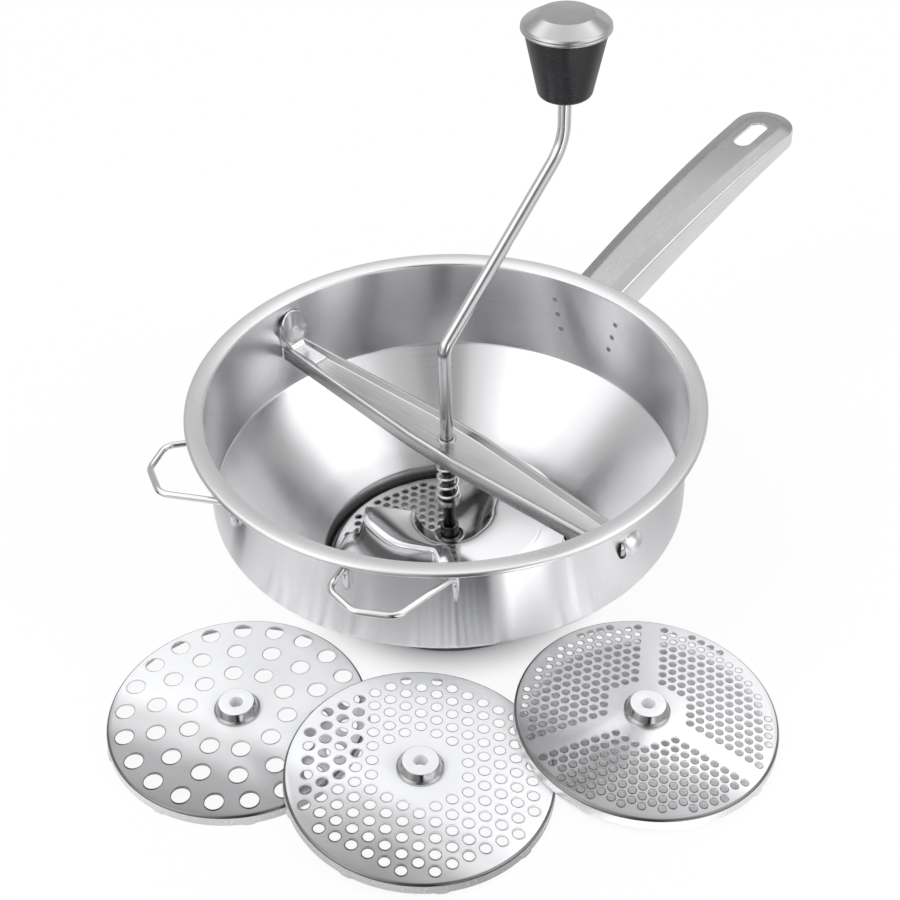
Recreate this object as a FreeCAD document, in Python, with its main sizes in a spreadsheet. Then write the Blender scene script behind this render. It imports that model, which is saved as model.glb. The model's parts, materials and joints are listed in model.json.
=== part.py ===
import FreeCAD, Part
import math
import os
import Sketcher

# Rotary food mill: a pan with a perforated disc in its floor, a pressing blade turned by a crank, three spare discs.
# Frame: +Z up, origin on the pan's axis in the plane the pan stands on, +X to the right, +Y to the back, millimetres.

V = FreeCAD.Vector
UP = V(0, 0, 1)
WIRE_SIDES = 8
SPRING_STEPS = 16        # straight pieces in one turn of the spring
doc = FreeCAD.newDocument("food_mill")

# ---------------------------------------------------------------------------------------------------------- dimensions
DIMENSIONS = {
    # clearances
    "weld_gap": 0.05,          # between welded or seated faces
    "running_gap": 0.05,       # radial gap of turning fits
    "side_gap": 0.3,           # between neighbours that pass each other
    "pin_gap": 0.02,           # radial gap of pinned holes
    # pan
    "rim_height": 105.0,
    "rim_bead_reach": 120.0,   # outermost radius of the rim
    "rim_bead_radius": 1.3,
    "rim_droop": 0.9,          # fall of the flange from the wall to the bead
    "wall_radius": 112.0,      # outside of the straight wall
    "pan_gauge": 1.0,
    "wall_foot_height": 54.0,  # where the straight wall meets the cone
    "cone_foot_height": 11.0,
    "neck_radius": 63.0,       # outside of the neck below the cone
    "seat_radius": 55.5,       # opening under the disc
    "wall_corner": 3.0,        # how far the bend between wall and cone reaches
    "seat_corner": 1.2,
    "pocket_azimuth": -45.5,
    "pocket_lift": 3.2,        # from the crossbar's top up to the pocket's middle
    "pocket_reach": 10.0,      # radius of the pocket's outline on the wall
    "pocket_depth": 3.9,
    "pocket_lead": 7.4,        # from the pocket's middle to its open edge
    "tab_pocket_rise": 7.0,    # extra height of the pocket behind the release tab
    # sieve discs
    "disc_radius": 59.0,
    "disc_height": 5.6,
    "disc_gauge": 0.9,
    "disc_edge": 0.8,
    "disc_crown": 2.0,         # rise of the domed middle above the rim
    "disc_hole_limit": 55.5,   # no hole reaches further out
    "lug_count": 9,
    "lug_width": 3.0,
    "lug_proud": 0.6,
    "lug_height": 2.2,
    "boss_foot_radius": 10.25,
    "boss_top_radius": 8.0,
    "boss_height": 5.0,
    "boss_neck_radius": 7.0,
    "boss_clinch_radius": 9.0,
    "boss_clinch_height": 1.2,
    "installed_hole": 3.0,
    "coarse_hole": 8.4,
    "medium_hole": 5.0,
    "fine_hole": 3.2,
    # shaft line
    "rod_diameter": 6.0,
    "rod_tail": 4.5,           # depth of the rod's end inside the disc's boss
    "hub_radius": 6.2,
    "hub_height": 12.0,
    "hub_flange_radius": 9.0,
    "hub_flange_height": 2.6,
    "cross_pin_diameter": 2.0,
    "cross_pin_length": 11.0,
    "lower_washer_height": 41.0,
    "washer_radius": 6.2,
    "lower_washer_thickness": 3.0,
    "upper_washer_thickness": 1.0,
    "spring_radius": 5.5,
    "spring_wire": 1.3,
    "spring_turns": 6.5,
    "bushing_flange_radius": 7.0,
    "bushing_flange_height": 1.2,
    "bushing_radius": 4.6,
    # crank arm and knob
    "crank_azimuth": 45.0,
    "arm_radius": 78.3,
    "arm_low_height": 131.0,
    "arm_high_height": 203.0,
    "arm_bend_radius": 9.0,
    "knob_height": 227.0,      # underside of the knob
    "knob_body_height": 31.0,
    "knob_foot_radius": 12.3,
    "knob_head_radius": 18.4,
    "knob_foot_rounding": 3.0,
    "knob_bush_radius": 5.0,
    "knob_pocket_radius": 8.5,
    "knob_pocket_depth": 6.0,
    "retainer_radius": 6.5,
    "retainer_thickness": 1.2,
    "cap_bead_radius": 20.15,
    "cap_bead_height": 3.0,
    "cap_top_radius": 12.2,
    "cap_height": 7.4,
    "cap_gauge": 0.8,
    # blade
    "blade_gauge": 1.2,
    "blade_crest_height": 30.0,
    "blade_collar_radius": 9.5,
    "blade_radius": 57.0,
    "wing_fall": 2.0,          # fall of the high wing towards its outer edge
    # crossbar
    "bar_azimuth": 135.0,
    "bar_top_height": 81.0,
    "bar_skirt": 7.0,
    "bar_gauge": 1.2,
    "bar_half_width": 12.4,
    "bar_end_half_width": 6.9,
    "bar_reach": 109.6,
    "bar_middle": 14.0,        # half length of the widest stretch
    "bar_ridge_width": 3.2,
    "bar_recess": 2.0,
    "tongue_half_width": 4.2,
    "tongue_reach": 112.6,
    "tongue_lip": 4.5,
    "tab_width": 14.6,
    "tab_gauge": 1.0,
    "tab_rise": 18.0,          # above the crossbar's top
    "tab_foot_reach": 20.0,
    "tab_curve_radius": 11.5,
    "tab_outer_radius": 110.3,
    # handle
    "handle_azimuth": 50.5,
    "handle_gauge": 1.4,
    "handle_tip": 289.0,
    "handle_root_half_width": 13.0,
    "handle_tip_half_width": 17.0,
    "handle_root_depth": 20.0,
    "handle_mid_depth": 15.0,
    "handle_tip_depth": 8.6,
    "handle_shoulder": 3.6,
    "handle_slope": 0.254,
    "handle_sag": 0.00062,
    "slot_centre": 262.0,
    "slot_length": 23.0,
    "slot_width": 9.5,
    "ear_angle": 8.8,
    "ear_half_width": 5.2,
    "ear_height": 27.0,
    "weld_radius": 1.9,
    "weld_proud": 0.4,
    "weld_pitch": 8.4,
    # pot rests
    "hook_wire": 3.0,
    "hook_height": 98.0,
    "hook_tail": 13.0,
    "hook_near_foot": 19.5,    # sideways from the hook's middle, on the clockwise side
    "hook_near_side": 22.5,
    "hook_side_reach": 127.0,
    "hook_near_end": 9.7,
    "hook_far_end": 8.5,
    "hook_end_reach": 137.5,
    "hook_far_foot": 27.0,
    "hook_bend_radius": 5.0,
    "front_hook_azimuth": -101.6,
    "left_hook_azimuth": -158.6,
    # spare discs, by the middle of each
    "coarse_x": -95.8,
    "coarse_y": -102.8,
    "medium_x": -13.4,
    "medium_y": -141.5,
    "fine_x": 86.7,
    "fine_y": -110.8,
}

sheet = doc.addObject("Spreadsheet::Sheet", "Dimensions")
for row, (alias, number) in enumerate(DIMENSIONS.items(), start=1):
    sheet.set(f"A{row}", alias)
    sheet.set(f"B{row}", str(number))
    sheet.setAlias(f"B{row}", alias)
doc.recompute()


class Size:
    """A number kept together with the sheet expression that gives it."""

    def __init__(self, number, text=None):
        self.number = float(number)
        self.text = text if text is not None else repr(float(number))

    def _join(self, other, sign, number):
        return Size(number, f"({self.text} {sign} {other.text})")

    def __add__(self, other):
        other = as_size(other)
        return self._join(other, "+", self.number + other.number)

    def __sub__(self, other):
        other = as_size(other)
        return self._join(other, "-", self.number - other.number)

    def __mul__(self, other):
        other = as_size(other)
        return self._join(other, "*", self.number * other.number)

    def __truediv__(self, other):
        other = as_size(other)
        return self._join(other, "/", self.number / other.number)

    def __radd__(self, other):
        return as_size(other) + self

    def __rsub__(self, other):
        return as_size(other) - self

    def __rmul__(self, other):
        return as_size(other) * self

    def __neg__(self):
        return Size(-self.number, f"(0 - {self.text})")

    def __float__(self):
        return self.number


def as_size(value):
    return value if isinstance(value, Size) else Size(value)


class Sizes:
    """Every dimension of the sheet as an attribute."""


S = Sizes()
for alias in DIMENSIONS:
    setattr(S, alias, Size(sheet.get(alias), f"Dimensions.{alias}"))


def polar(radius, degrees, height=0.0):
    angle = math.radians(float(degrees))
    return V(float(radius) * math.cos(angle), float(radius) * math.sin(angle), float(height))


# ------------------------------------------------------------------------------------------------------------- helpers
def between(keys, place):
    """Value at a place, straight between the two nearest (place, value) keys."""
    for (start, low), (end, high) in zip(keys, keys[1:]):
        if place <= end:
            return low + (high - low) * (place - start) / (end - start)
    return keys[-1][1]


def new_body(label):
    body = doc.addObject("PartDesign::Body", label)
    body.Label = label
    return body


def origin_plane(body, role):
    return next(feature for feature in body.Origin.OriginFeatures if feature.Role == role)


def new_sketch(body, name, role, offset=None):
    sketch = body.newObject("Sketcher::SketchObject", name)
    sketch.AttachmentSupport = [(origin_plane(body, role), "")]
    sketch.MapMode = "FlatFace"
    if offset is not None:
        sketch.setExpression(".AttachmentOffset.Base.z", as_size(offset).text)
        sketch.AttachmentOffset = FreeCAD.Placement(V(0, 0, float(offset)), FreeCAD.Rotation())
    return sketch


def bind(sketch, kind, where, value):
    """Add one dimension to a sketch and bind it to its expression."""
    value = as_size(value)
    index = sketch.addConstraint(Sketcher.Constraint(kind, *where, float(value)))
    if "Dimensions" in value.text:
        sketch.setExpression(f"Constraints[{index}]", value.text)


def place(sketch, geometry, end, point):
    """Hold one end of a sketch element at a point given by two sizes."""
    bind(sketch, "DistanceX", (-1, 1, geometry, end), point[0])
    bind(sketch, "DistanceY", (-1, 1, geometry, end), point[1])


def corner_arc(before, corner, after, radius):
    """The two tangent points, the centre and the turn of an arc that rounds a corner."""
    to_before = (before - corner).normalize()
    to_after = (after - corner).normalize()
    half = to_before.getAngle(to_after) / 2
    reach = radius / math.tan(half)
    centre = corner + (to_before + to_after).normalize() * (radius / math.sin(half))
    turn = (corner - before).cross(after - corner).z
    return corner + to_before * reach, corner + to_after * reach, centre, turn


def draw(sketch, points, closed=True):
    """Draw a chain of lines; a point is (x, y) or (x, y, radius), whose corner is rounded."""
    count = len(points)
    spots = [V(float(p[0]), float(p[1]), 0) for p in points]
    arcs = {}
    for i, point in enumerate(points):
        if len(point) == 3:
            arcs[i] = corner_arc(spots[i - 1], spots[i], spots[(i + 1) % count], float(point[2]))
    lines = []
    for i in range(count if closed else count - 1):
        j = (i + 1) % count
        start = arcs[i][1] if i in arcs else spots[i]
        end = arcs[j][0] if j in arcs else spots[j]
        lines.append(sketch.addGeometry(Part.LineSegment(start, end), False))
    for i, point in enumerate(points):
        before, after = lines[i - 1], lines[i % len(lines)]
        if i in arcs:
            enter, leave, centre, turn = arcs[i]
            first, last = (enter, leave) if turn > 0 else (leave, enter)
            angles = [math.atan2(p.y - centre.y, p.x - centre.x) for p in (first, last)]
            circle = Part.Circle(centre, UP, float(point[2]))
            arc = sketch.addGeometry(Part.ArcOfCircle(circle, angles[0], angles[1]), False)
            corner = sketch.addGeometry(Part.Point(spots[i]), True)
            place(sketch, corner, 1, point)
            enter_end, leave_end = (1, 2) if turn > 0 else (2, 1)
            sketch.addConstraint(Sketcher.Constraint("Tangent", before, 2, arc, enter_end))
            sketch.addConstraint(Sketcher.Constraint("Tangent", after, 1, arc, leave_end))
            sketch.addConstraint(Sketcher.Constraint("PointOnObject", corner, 1, before))
            sketch.addConstraint(Sketcher.Constraint("PointOnObject", corner, 1, after))
            bind(sketch, "Radius", (arc,), point[2])
        elif closed or 0 < i < count - 1:
            sketch.addConstraint(Sketcher.Constraint("Coincident", before, 2, after, 1))
            place(sketch, after, 1, point)
        else:
            place(sketch, after if i == 0 else lines[-1], 1 if i == 0 else 2, point)


def draw_circle(sketch, point, radius):
    circle = sketch.addGeometry(Part.Circle(V(float(point[0]), float(point[1]), 0), UP, float(radius)), False)
    place(sketch, circle, 3, point)
    bind(sketch, "Radius", (circle,), radius)


def revolve(body, name, points):
    """Turn a profile of (radius, height) points about the body's own Z axis."""
    sketch = new_sketch(body, f"{name}_profile", "XZ_Plane")
    draw(sketch, points)
    feature = body.newObject("PartDesign::Revolution", name)
    feature.Profile = sketch
    feature.ReferenceAxis = (sketch, ["V_Axis"])
    feature.Angle = 360
    doc.recompute()
    return feature


def pad(body, name, points, base, height):
    """Raise an outline drawn in plan from one level by a height."""
    sketch = new_sketch(body, f"{name}_outline", "XY_Plane", base)
    draw(sketch, points)
    feature = body.newObject("PartDesign::Pad", name)
    feature.Profile = sketch
    feature.setExpression("Length", as_size(height).text)
    doc.recompute()
    return feature


def pocket(body, name, base, height, points=None, circle=None):
    """Cut an outline drawn in plan, from one level upwards by a height."""
    volume = body.Shape.Volume
    sketch = new_sketch(body, f"{name}_outline", "XY_Plane", base)
    if circle:
        draw_circle(sketch, *circle)
    else:
        draw(sketch, points)
    feature = body.newObject("PartDesign::Pocket", name)
    feature.Profile = sketch
    feature.Reversed = True
    feature.setExpression("Length", as_size(height).text)
    doc.recompute()
    if body.Shape.Volume >= volume:
        raise ValueError(f"{body.Label}: {name} cuts nothing")
    return feature


def cross_hole(body, name, radius, height, reach):
    """Drill a round hole along the body's X axis at a height, through both sides."""
    volume = body.Shape.Volume
    sketch = new_sketch(body, f"{name}_outline", "YZ_Plane", -reach)
    draw_circle(sketch, (0, height), radius)
    feature = body.newObject("PartDesign::Pocket", name)
    feature.Profile = sketch
    feature.Reversed = True
    feature.setExpression("Length", (2 * reach).text)
    doc.recompute()
    if body.Shape.Volume >= volume:
        raise ValueError(f"{body.Label}: {name} cuts nothing")


def set_shape(label, shape, placement=None):
    """A piece whose form is set directly, for sheet and wire forms that no feature makes."""
    feature = doc.addObject("Part::Feature", label)
    feature.Label = label
    feature.Shape = shape
    if placement is not None:
        feature.Placement = placement
    return feature


def turned(azimuth, centre=None):
    return FreeCAD.Placement(centre or V(0, 0, 0), FreeCAD.Rotation(UP, float(azimuth)))


def bent_wire(corners, radii, diameter):
    """Round wire that follows a chain of straight runs with tangent bends."""
    edges = []
    start = corners[0]
    for before, corner, after, radius in zip(corners, corners[1:], corners[2:], radii):
        to_before = (before - corner).normalize()
        to_after = (after - corner).normalize()
        half = to_before.getAngle(to_after) / 2
        reach = radius / math.tan(half)
        inward = (to_before + to_after).normalize()
        middle = corner + inward * (radius / math.sin(half) - radius)
        enter = corner + to_before * reach
        leave = corner + to_after * reach
        edges.append(Part.LineSegment(start, enter).toShape())
        edges.append(Part.Arc(enter, middle, leave).toShape())
        start = leave
    edges.append(Part.LineSegment(start, corners[-1]).toShape())
    path = Part.Wire(edges)
    along = (corners[1] - corners[0]).normalize()
    aside = V(1, 0, 0)
    across = along.cross(aside)
    ring = []
    for k in range(WIRE_SIDES):
        angle = 2 * math.pi * (k + 0.5) / WIRE_SIDES
        ring.append(corners[0] + aside * (diameter / 2 * math.cos(angle)) + across * (diameter / 2 * math.sin(angle)))
    section = Part.makePolygon(ring + ring[:1])
    return path.makePipeShell([section], True, False)


# ----------------------------------------------------------------------------------------------------------------- pan
def make_pan():
    wall_in = S.wall_radius - S.pan_gauge
    neck_in = S.neck_radius - S.pan_gauge
    bead_low = S.rim_height - 2 * S.rim_bead_radius
    bead_in = S.rim_bead_reach - 2 * S.rim_bead_radius
    bead_top = S.rim_height - S.rim_droop
    soft = S.rim_bead_radius * 0.6
    flange_low = S.rim_height - S.pan_gauge
    corner = S.wall_corner
    lean = S.pan_gauge * 0.41
    body = new_body("pan_shell")
    revolve(body, "shell", [
        (wall_in - 0.4, S.rim_height - 0.4),
        (wall_in, S.rim_height - 1.2),
        (wall_in, S.wall_foot_height + corner),
        (wall_in - corner, S.wall_foot_height + lean - corner * 0.5),
        (neck_in, S.cone_foot_height + lean),
        (neck_in, S.pan_gauge),
        (S.seat_radius, S.pan_gauge),
        (S.seat_radius, 0),
        (S.neck_radius - S.seat_corner, 0),
        (S.neck_radius, S.seat_corner),
        (S.neck_radius, S.cone_foot_height),
        (S.wall_radius - corner, S.wall_foot_height - corner * 0.88),
        (S.wall_radius, S.wall_foot_height + corner * 0.6),
        (S.wall_radius, flange_low),
        (bead_in, flange_low - S.rim_droop),
        (bead_in, bead_low),
        (S.rim_bead_reach - soft, bead_low),
        (S.rim_bead_reach, bead_low + soft),
        (S.rim_bead_reach, bead_top - soft),
        (S.rim_bead_reach - soft, bead_top),
        (wall_in + 0.8, S.rim_height),
    ])
    return body


def pocket_form(grow, rise):
    """Rounded bulge around a pocket's middle; grow is 0 for the inside and the gauge for the outside."""
    reach, depth = float(S.pocket_reach), float(S.pocket_depth)
    sphere = (reach ** 2 + depth ** 2) / (2 * depth)
    centre = float(S.wall_radius) + depth - sphere
    radius = sphere - float(S.pan_gauge) + grow
    low = float(S.bar_top_height + S.pocket_lift)
    shape = Part.makeSphere(radius, V(centre, 0, low))
    if rise:
        column = Part.makeCylinder(radius, rise, V(centre, 0, low), UP)
        shape = shape.fuse([column, Part.makeSphere(radius, V(centre, 0, low + rise))])
    return shape


def add_pocket(shape, azimuth, rise):
    """Press a pocket out of the wall and open it on its clockwise side."""
    wall = float(S.wall_radius)
    gauge = float(S.pan_gauge)
    height = float(S.rim_height)
    inner = Part.makeCylinder(wall - gauge / 2, 2 * height)
    bulge = pocket_form(gauge, rise).cut(inner)
    open_side = Part.makeBox(2 * wall, wall, height, V(0, -float(S.pocket_lead) - wall, 0))
    bulge = bulge.cut(open_side)
    spot = turned(azimuth)
    hollow = pocket_form(0.0, rise)
    for tool in (bulge, hollow):
        tool.Placement = spot
    return shape.fuse(bulge).cut(hollow)


def finish_pan(body):
    shape = body.Shape
    middle = float(S.pocket_azimuth)
    for azimuth, rise in ((middle, 0.0), (middle + 180, float(S.tab_pocket_rise))):
        shape = add_pocket(shape, azimuth, rise)
    return set_shape("pan", shape.removeSplitter())


# -------------------------------------------------------------------------------------------------------- sieve discs
# The dome of a disc as (radius, share of the crown); it is flat under the boss.
DOME = ((0.0, 1.0), (10.8, 1.0), (27.6, 0.775), (46.0, 0.375), (58.2, 0.0))


def disc_body(label):
    """A domed disc with a rolled edge and a short skirt, its foot in the plane z = 0."""
    top = S.disc_height
    under = top - S.disc_gauge
    outer = S.disc_radius
    body = new_body(label)
    rise = DOME[:-1]
    revolve(body, "sheet", [(radius, under + S.disc_crown * share) for radius, share in rise] + [
        (outer - S.disc_gauge, under),
        (outer - S.disc_gauge, 0),
        (outer, 0),
        (outer, top - S.disc_edge),
        (outer - S.disc_edge, top),
    ] + [(radius, top + S.disc_crown * share) for radius, share in reversed(rise)])
    pocket(body, "boss_seat", top + S.disc_crown - 2 * S.disc_gauge, 3 * S.disc_gauge,
           circle=((0, 0), S.boss_neck_radius + S.weld_gap))
    return body


def add_lugs(body):
    """Small stops pressed out of the skirt, evenly spaced."""
    half = S.lug_width / 2
    inner = S.disc_radius - S.disc_gauge / 2
    outer = S.disc_radius + S.lug_proud
    lug = pad(body, "lug", [(inner, -half), (outer, -half * 0.6), (outer, half * 0.6), (inner, half)], 0,
              S.lug_height)
    ring = body.newObject("PartDesign::PolarPattern", "lugs")
    ring.Originals = [lug]
    ring.Axis = (origin_plane(body, "Z_Axis"), [""])
    ring.Angle = 360
    ring.Occurrences = int(float(S.lug_count))
    body.Tip = ring
    doc.recompute()


def hole_ring(body, name, radius, count, size, sides, phase=0.0):
    """One ring of holes: a first many-sided hole, repeated around the axis."""
    spots = []
    for k in range(sides):
        angle = math.radians(360 * (k + 0.5) / sides)
        spots.append((radius + size * (0.5 * math.cos(angle)), size * (0.5 * math.sin(angle))))
    start = math.radians(phase)
    spots = [(x * math.cos(start) - y * math.sin(start), x * math.sin(start) + y * math.cos(start))
             for x, y in spots]
    hole = pocket(body, name, S.disc_height - 2 * S.disc_gauge, 3 * S.disc_gauge + S.disc_crown, points=spots)
    ring = body.newObject("PartDesign::PolarPattern", f"{name}_ring")
    ring.Originals = [hole]
    ring.Axis = (origin_plane(body, "Z_Axis"), [""])
    ring.Angle = 360
    ring.Occurrences = count
    body.Tip = ring
    doc.recompute()


def make_disc(label, size, rings, sides, placement):
    body = disc_body(label)
    add_lugs(body)
    for number, (share, count, phase) in enumerate(rings):
        hole_ring(body, f"hole{number}", (S.disc_hole_limit - size / 2) * share, count, size, sides, phase)
    body.Placement = placement
    return body


def make_boss(label, placement):
    """Turned hub clinched in the middle of a disc, bored for the shaft."""
    top = S.disc_height + S.disc_crown
    bore = S.rod_diameter / 2 + S.running_gap
    under = top - S.disc_gauge
    body = new_body(label)
    revolve(body, "hub", [
        (bore, under - S.boss_clinch_height),
        (S.boss_clinch_radius, under - S.boss_clinch_height),
        (S.boss_clinch_radius, under),
        (S.boss_neck_radius, under),
        (S.boss_neck_radius, top),
        (S.boss_foot_radius, top),
        (S.boss_foot_radius, top + 0.8),
        (S.boss_top_radius, top + S.boss_height),
        (bore, top + S.boss_height),
    ])
    body.Placement = placement
    return body


def lean_of(centre, below, below_lean):
    """How far a disc tips to rest its left edge on the disc below, its right edge on the table."""
    radius = float(S.disc_radius)
    reach = radius + float(S.lug_proud)
    height = float(S.disc_height) + float(S.weld_gap) * 2
    steepest = 0.0
    for step in range(0, 360, 2):
        x = centre.x + radius * math.cos(math.radians(step))
        y = centre.y + radius * math.sin(math.radians(step))
        inside = math.hypot(x - below.x, y - below.y)
        if inside > reach:
            continue
        dome = float(S.disc_crown) * between(DOME, inside)
        support = height + dome + (below.x + radius - x) * math.sin(math.radians(below_lean))
        steepest = max(steepest, math.asin(support / (centre.x + radius - x)))
    return math.degrees(steepest)


def leaning(centre, degrees):
    """Placement of a disc tipped about the table line under its right edge."""
    edge = V(float(S.disc_radius) + float(S.lug_proud), 0, 0)
    turn = FreeCAD.Rotation(V(0, 1, 0), degrees)
    tipped = FreeCAD.Placement(V(0, 0, 0), turn, edge)
    return FreeCAD.Placement(centre, FreeCAD.Rotation()).multiply(tipped)


COARSE_RINGS = ((0.45, 10, 27.8), (0.725, 14, 19.0), (1.0, 21, 7.1))
MEDIUM_RINGS = ((0.42, 11, 0.0), (0.61, 16, 6.0), (0.80, 21, 0.0), (1.0, 27, 3.0))
FINE_RINGS = ((0.40, 12, 0.0), (0.60, 18, 5.0), (0.80, 24, 0.0), (1.0, 32, 4.0))


def make_discs():
    seat = FreeCAD.Placement(V(0, 0, float(S.pan_gauge)), FreeCAD.Rotation(UP, 4))
    coarse_at = V(float(S.coarse_x), float(S.coarse_y), 0)
    medium_at = V(float(S.medium_x), float(S.medium_y), 0)
    fine_at = V(float(S.fine_x), float(S.fine_y), 0)
    medium_lean = lean_of(medium_at, coarse_at, 0.0)
    fine_lean = lean_of(fine_at, medium_at, medium_lean)
    print("disc leans", round(medium_lean, 2), round(fine_lean, 2))
    flat = FreeCAD.Placement(coarse_at, FreeCAD.Rotation())
    return [
        make_disc("sieve_disc_in_pan", S.installed_hole, FINE_RINGS, 4, seat),
        make_boss("sieve_disc_in_pan_hub", seat),
        make_disc("spare_disc_coarse", S.coarse_hole, COARSE_RINGS, 8, flat),
        make_boss("spare_disc_coarse_hub", flat),
        make_disc("spare_disc_medium", S.medium_hole, MEDIUM_RINGS, 6, leaning(medium_at, medium_lean)),
        make_boss("spare_disc_medium_hub", leaning(medium_at, medium_lean)),
        make_disc("spare_disc_fine", S.fine_hole, FINE_RINGS, 4, leaning(fine_at, fine_lean)),
        make_boss("spare_disc_fine_hub", leaning(fine_at, fine_lean)),
    ]


# ---------------------------------------------------------------------------------------------------------- shaft line
BOSS_TOP = S.pan_gauge + S.disc_height + S.disc_crown + S.boss_height
ROD_FOOT = BOSS_TOP - S.rod_tail
HUB_FOOT = BOSS_TOP + S.side_gap
HUB_TOP = HUB_FOOT + S.hub_height
HUB_PIN_HEIGHT = HUB_TOP - 3 * S.cross_pin_diameter / 2
STOP_PIN_HEIGHT = S.lower_washer_height - S.cross_pin_diameter / 2 - S.weld_gap
ROD_BORE = S.rod_diameter / 2 + S.running_gap
BAR_WEB_LOW = S.bar_top_height - S.bar_recess - S.bar_gauge
UPPER_WASHER_TOP = BAR_WEB_LOW - S.bushing_flange_height - S.weld_gap
SPRING_LOW = S.lower_washer_height + S.lower_washer_thickness
SPRING_HIGH = UPPER_WASHER_TOP - S.upper_washer_thickness
KNOB_TOP = S.knob_height + S.knob_body_height
ROD_TIP = KNOB_TOP - S.knob_pocket_depth + S.retainer_thickness + 1.0


def make_crank_rod():
    """One bent bar: shaft, slanting arm and the upright that carries the knob."""
    body = new_body("crank_rod")
    path = new_sketch(body, "rod_path", "XZ_Plane")
    draw(path, [
        (0, ROD_FOOT),
        (0, S.arm_low_height, S.arm_bend_radius),
        (S.arm_radius, S.arm_high_height, S.arm_bend_radius),
        (S.arm_radius, ROD_TIP),
    ], closed=False)
    section = new_sketch(body, "rod_section", "XY_Plane", ROD_FOOT)
    draw_circle(section, (0, 0), S.rod_diameter / 2)
    pipe = body.newObject("PartDesign::AdditivePipe", "rod")
    pipe.Profile = section
    pipe.Spine = path
    doc.recompute()
    for name, height in (("hub_pin_hole", HUB_PIN_HEIGHT), ("stop_pin_hole", STOP_PIN_HEIGHT)):
        cross_hole(body, name, S.cross_pin_diameter / 2 + S.pin_gap, height, S.rod_diameter)
    body.Placement = turned(S.crank_azimuth)
    return body


def make_cross_pin(label, height, length):
    """Round pin across the shaft, along the crank's own azimuth."""
    pin = doc.addObject("Part::Cylinder", label)
    pin.Label = label
    pin.setExpression("Radius", (S.cross_pin_diameter / 2).text)
    pin.setExpression("Height", length.text)
    level = FreeCAD.Placement(V(-float(length) / 2, 0, float(height)), FreeCAD.Rotation(V(0, 1, 0), 90))
    pin.Placement = turned(S.crank_azimuth).multiply(level)
    return pin


def make_blade_hub():
    flange_top = HUB_FOOT + S.hub_flange_height
    body = new_body("blade_hub")
    revolve(body, "sleeve", [
        (ROD_BORE, HUB_FOOT),
        (S.hub_flange_radius, HUB_FOOT),
        (S.hub_flange_radius, flange_top),
        (S.hub_radius, flange_top),
        (S.hub_radius, HUB_TOP),
        (ROD_BORE, HUB_TOP),
    ])
    cross_hole(body, "pin_hole", S.cross_pin_diameter / 2 + S.pin_gap, HUB_PIN_HEIGHT, S.hub_radius + 1)
    body.Placement = turned(S.crank_azimuth)
    return body


def make_ring(label, inner, outer, low, high):
    body = new_body(label)
    revolve(body, "ring", [(inner, low), (outer, low), (outer, high), (inner, high)])
    return body


def make_spring():
    """Compression spring of stiff wire with a four-sided section, between the two washers."""
    wire = float(S.spring_wire)
    low = float(SPRING_LOW) + wire / 2 + float(S.weld_gap)
    high = float(SPRING_HIGH) - wire / 2 - float(S.weld_gap)
    radius = float(S.spring_radius) - wire / 2
    steps = round(float(S.spring_turns) * SPRING_STEPS)
    half = wire / 2
    sections = []
    for step in range(steps + 1):
        level = low + (high - low) * step / steps
        corners = [V(radius + x, 0, level + z) for x, z in ((-half, -half), (half, -half), (half, half), (-half, half))]
        section = Part.makePolygon(corners + corners[:1])
        section.rotate(V(0, 0, 0), UP, 360 * step / SPRING_STEPS)
        sections.append(section)
    return set_shape("pressure_spring", Part.makeLoft(sections, True, True))


def make_bushing():
    """Flanged bushing that lines the middle of the crossbar."""
    top = S.bar_top_height - S.bar_recess
    body = new_body("crossbar_bushing")
    revolve(body, "sleeve", [
        (ROD_BORE, UPPER_WASHER_TOP + S.weld_gap),
        (S.bushing_flange_radius, UPPER_WASHER_TOP + S.weld_gap),
        (S.bushing_flange_radius, BAR_WEB_LOW),
        (S.bushing_radius, BAR_WEB_LOW),
        (S.bushing_radius, top + 0.8),
        (ROD_BORE, top + 0.8),
    ])
    return body


def make_shaft_line():
    stop_length = S.cross_pin_length
    hub_length = 2 * S.hub_radius
    return [
        make_crank_rod(),
        make_blade_hub(),
        make_cross_pin("blade_hub_pin", HUB_PIN_HEIGHT, hub_length),
        make_cross_pin("spring_stop_pin", STOP_PIN_HEIGHT, stop_length),
        make_ring("spring_lower_washer", ROD_BORE, S.washer_radius, S.lower_washer_height, SPRING_LOW),
        make_ring("spring_upper_washer", ROD_BORE, S.washer_radius, SPRING_HIGH, UPPER_WASHER_TOP),
        make_spring(),
        make_bushing(),
    ]


# --------------------------------------------------------------------------------------------------------------- blade
# Azimuth and size at the places where the blade's form changes; in between, sizes run straight. Azimuths count
# counter-clockwise from the free edge of the ploughing wing to the foot of the ramp.
CREST_REACH = ((168, 19.0), (225, 19.0), (255, 23.5), (350, 23.7), (374, 27.0), (393, 34.0), (407, 42.0), (455, 42.0))
CREST_SHARE = ((168, 1.0), (407, 1.0), (422, 0.7), (438, 0.28), (455, 0.0))
FOLD_REACH = ((168, 46.0), (180, 46.0), (197, 42.0), (218, 34.0), (258, 24.5), (264, 34.0), (270, 40.0), (393, 47.0),
              (455, 50.0))
FOLD_SHARE = ((168, 1.0), (258, 1.0), (264, 0.85), (270, 0.97), (407, 0.97), (422, 0.8), (438, 0.32), (455, 0.0))
EDGE_SHARE = ((168, 0.0), (258, 0.0), (264, 0.5), (270, 1.0), (410, 1.0), (424, 0.85), (438, 0.35), (455, 0.0))
BLADE_STEP = 12          # degrees between sections, besides those at the places above


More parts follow.
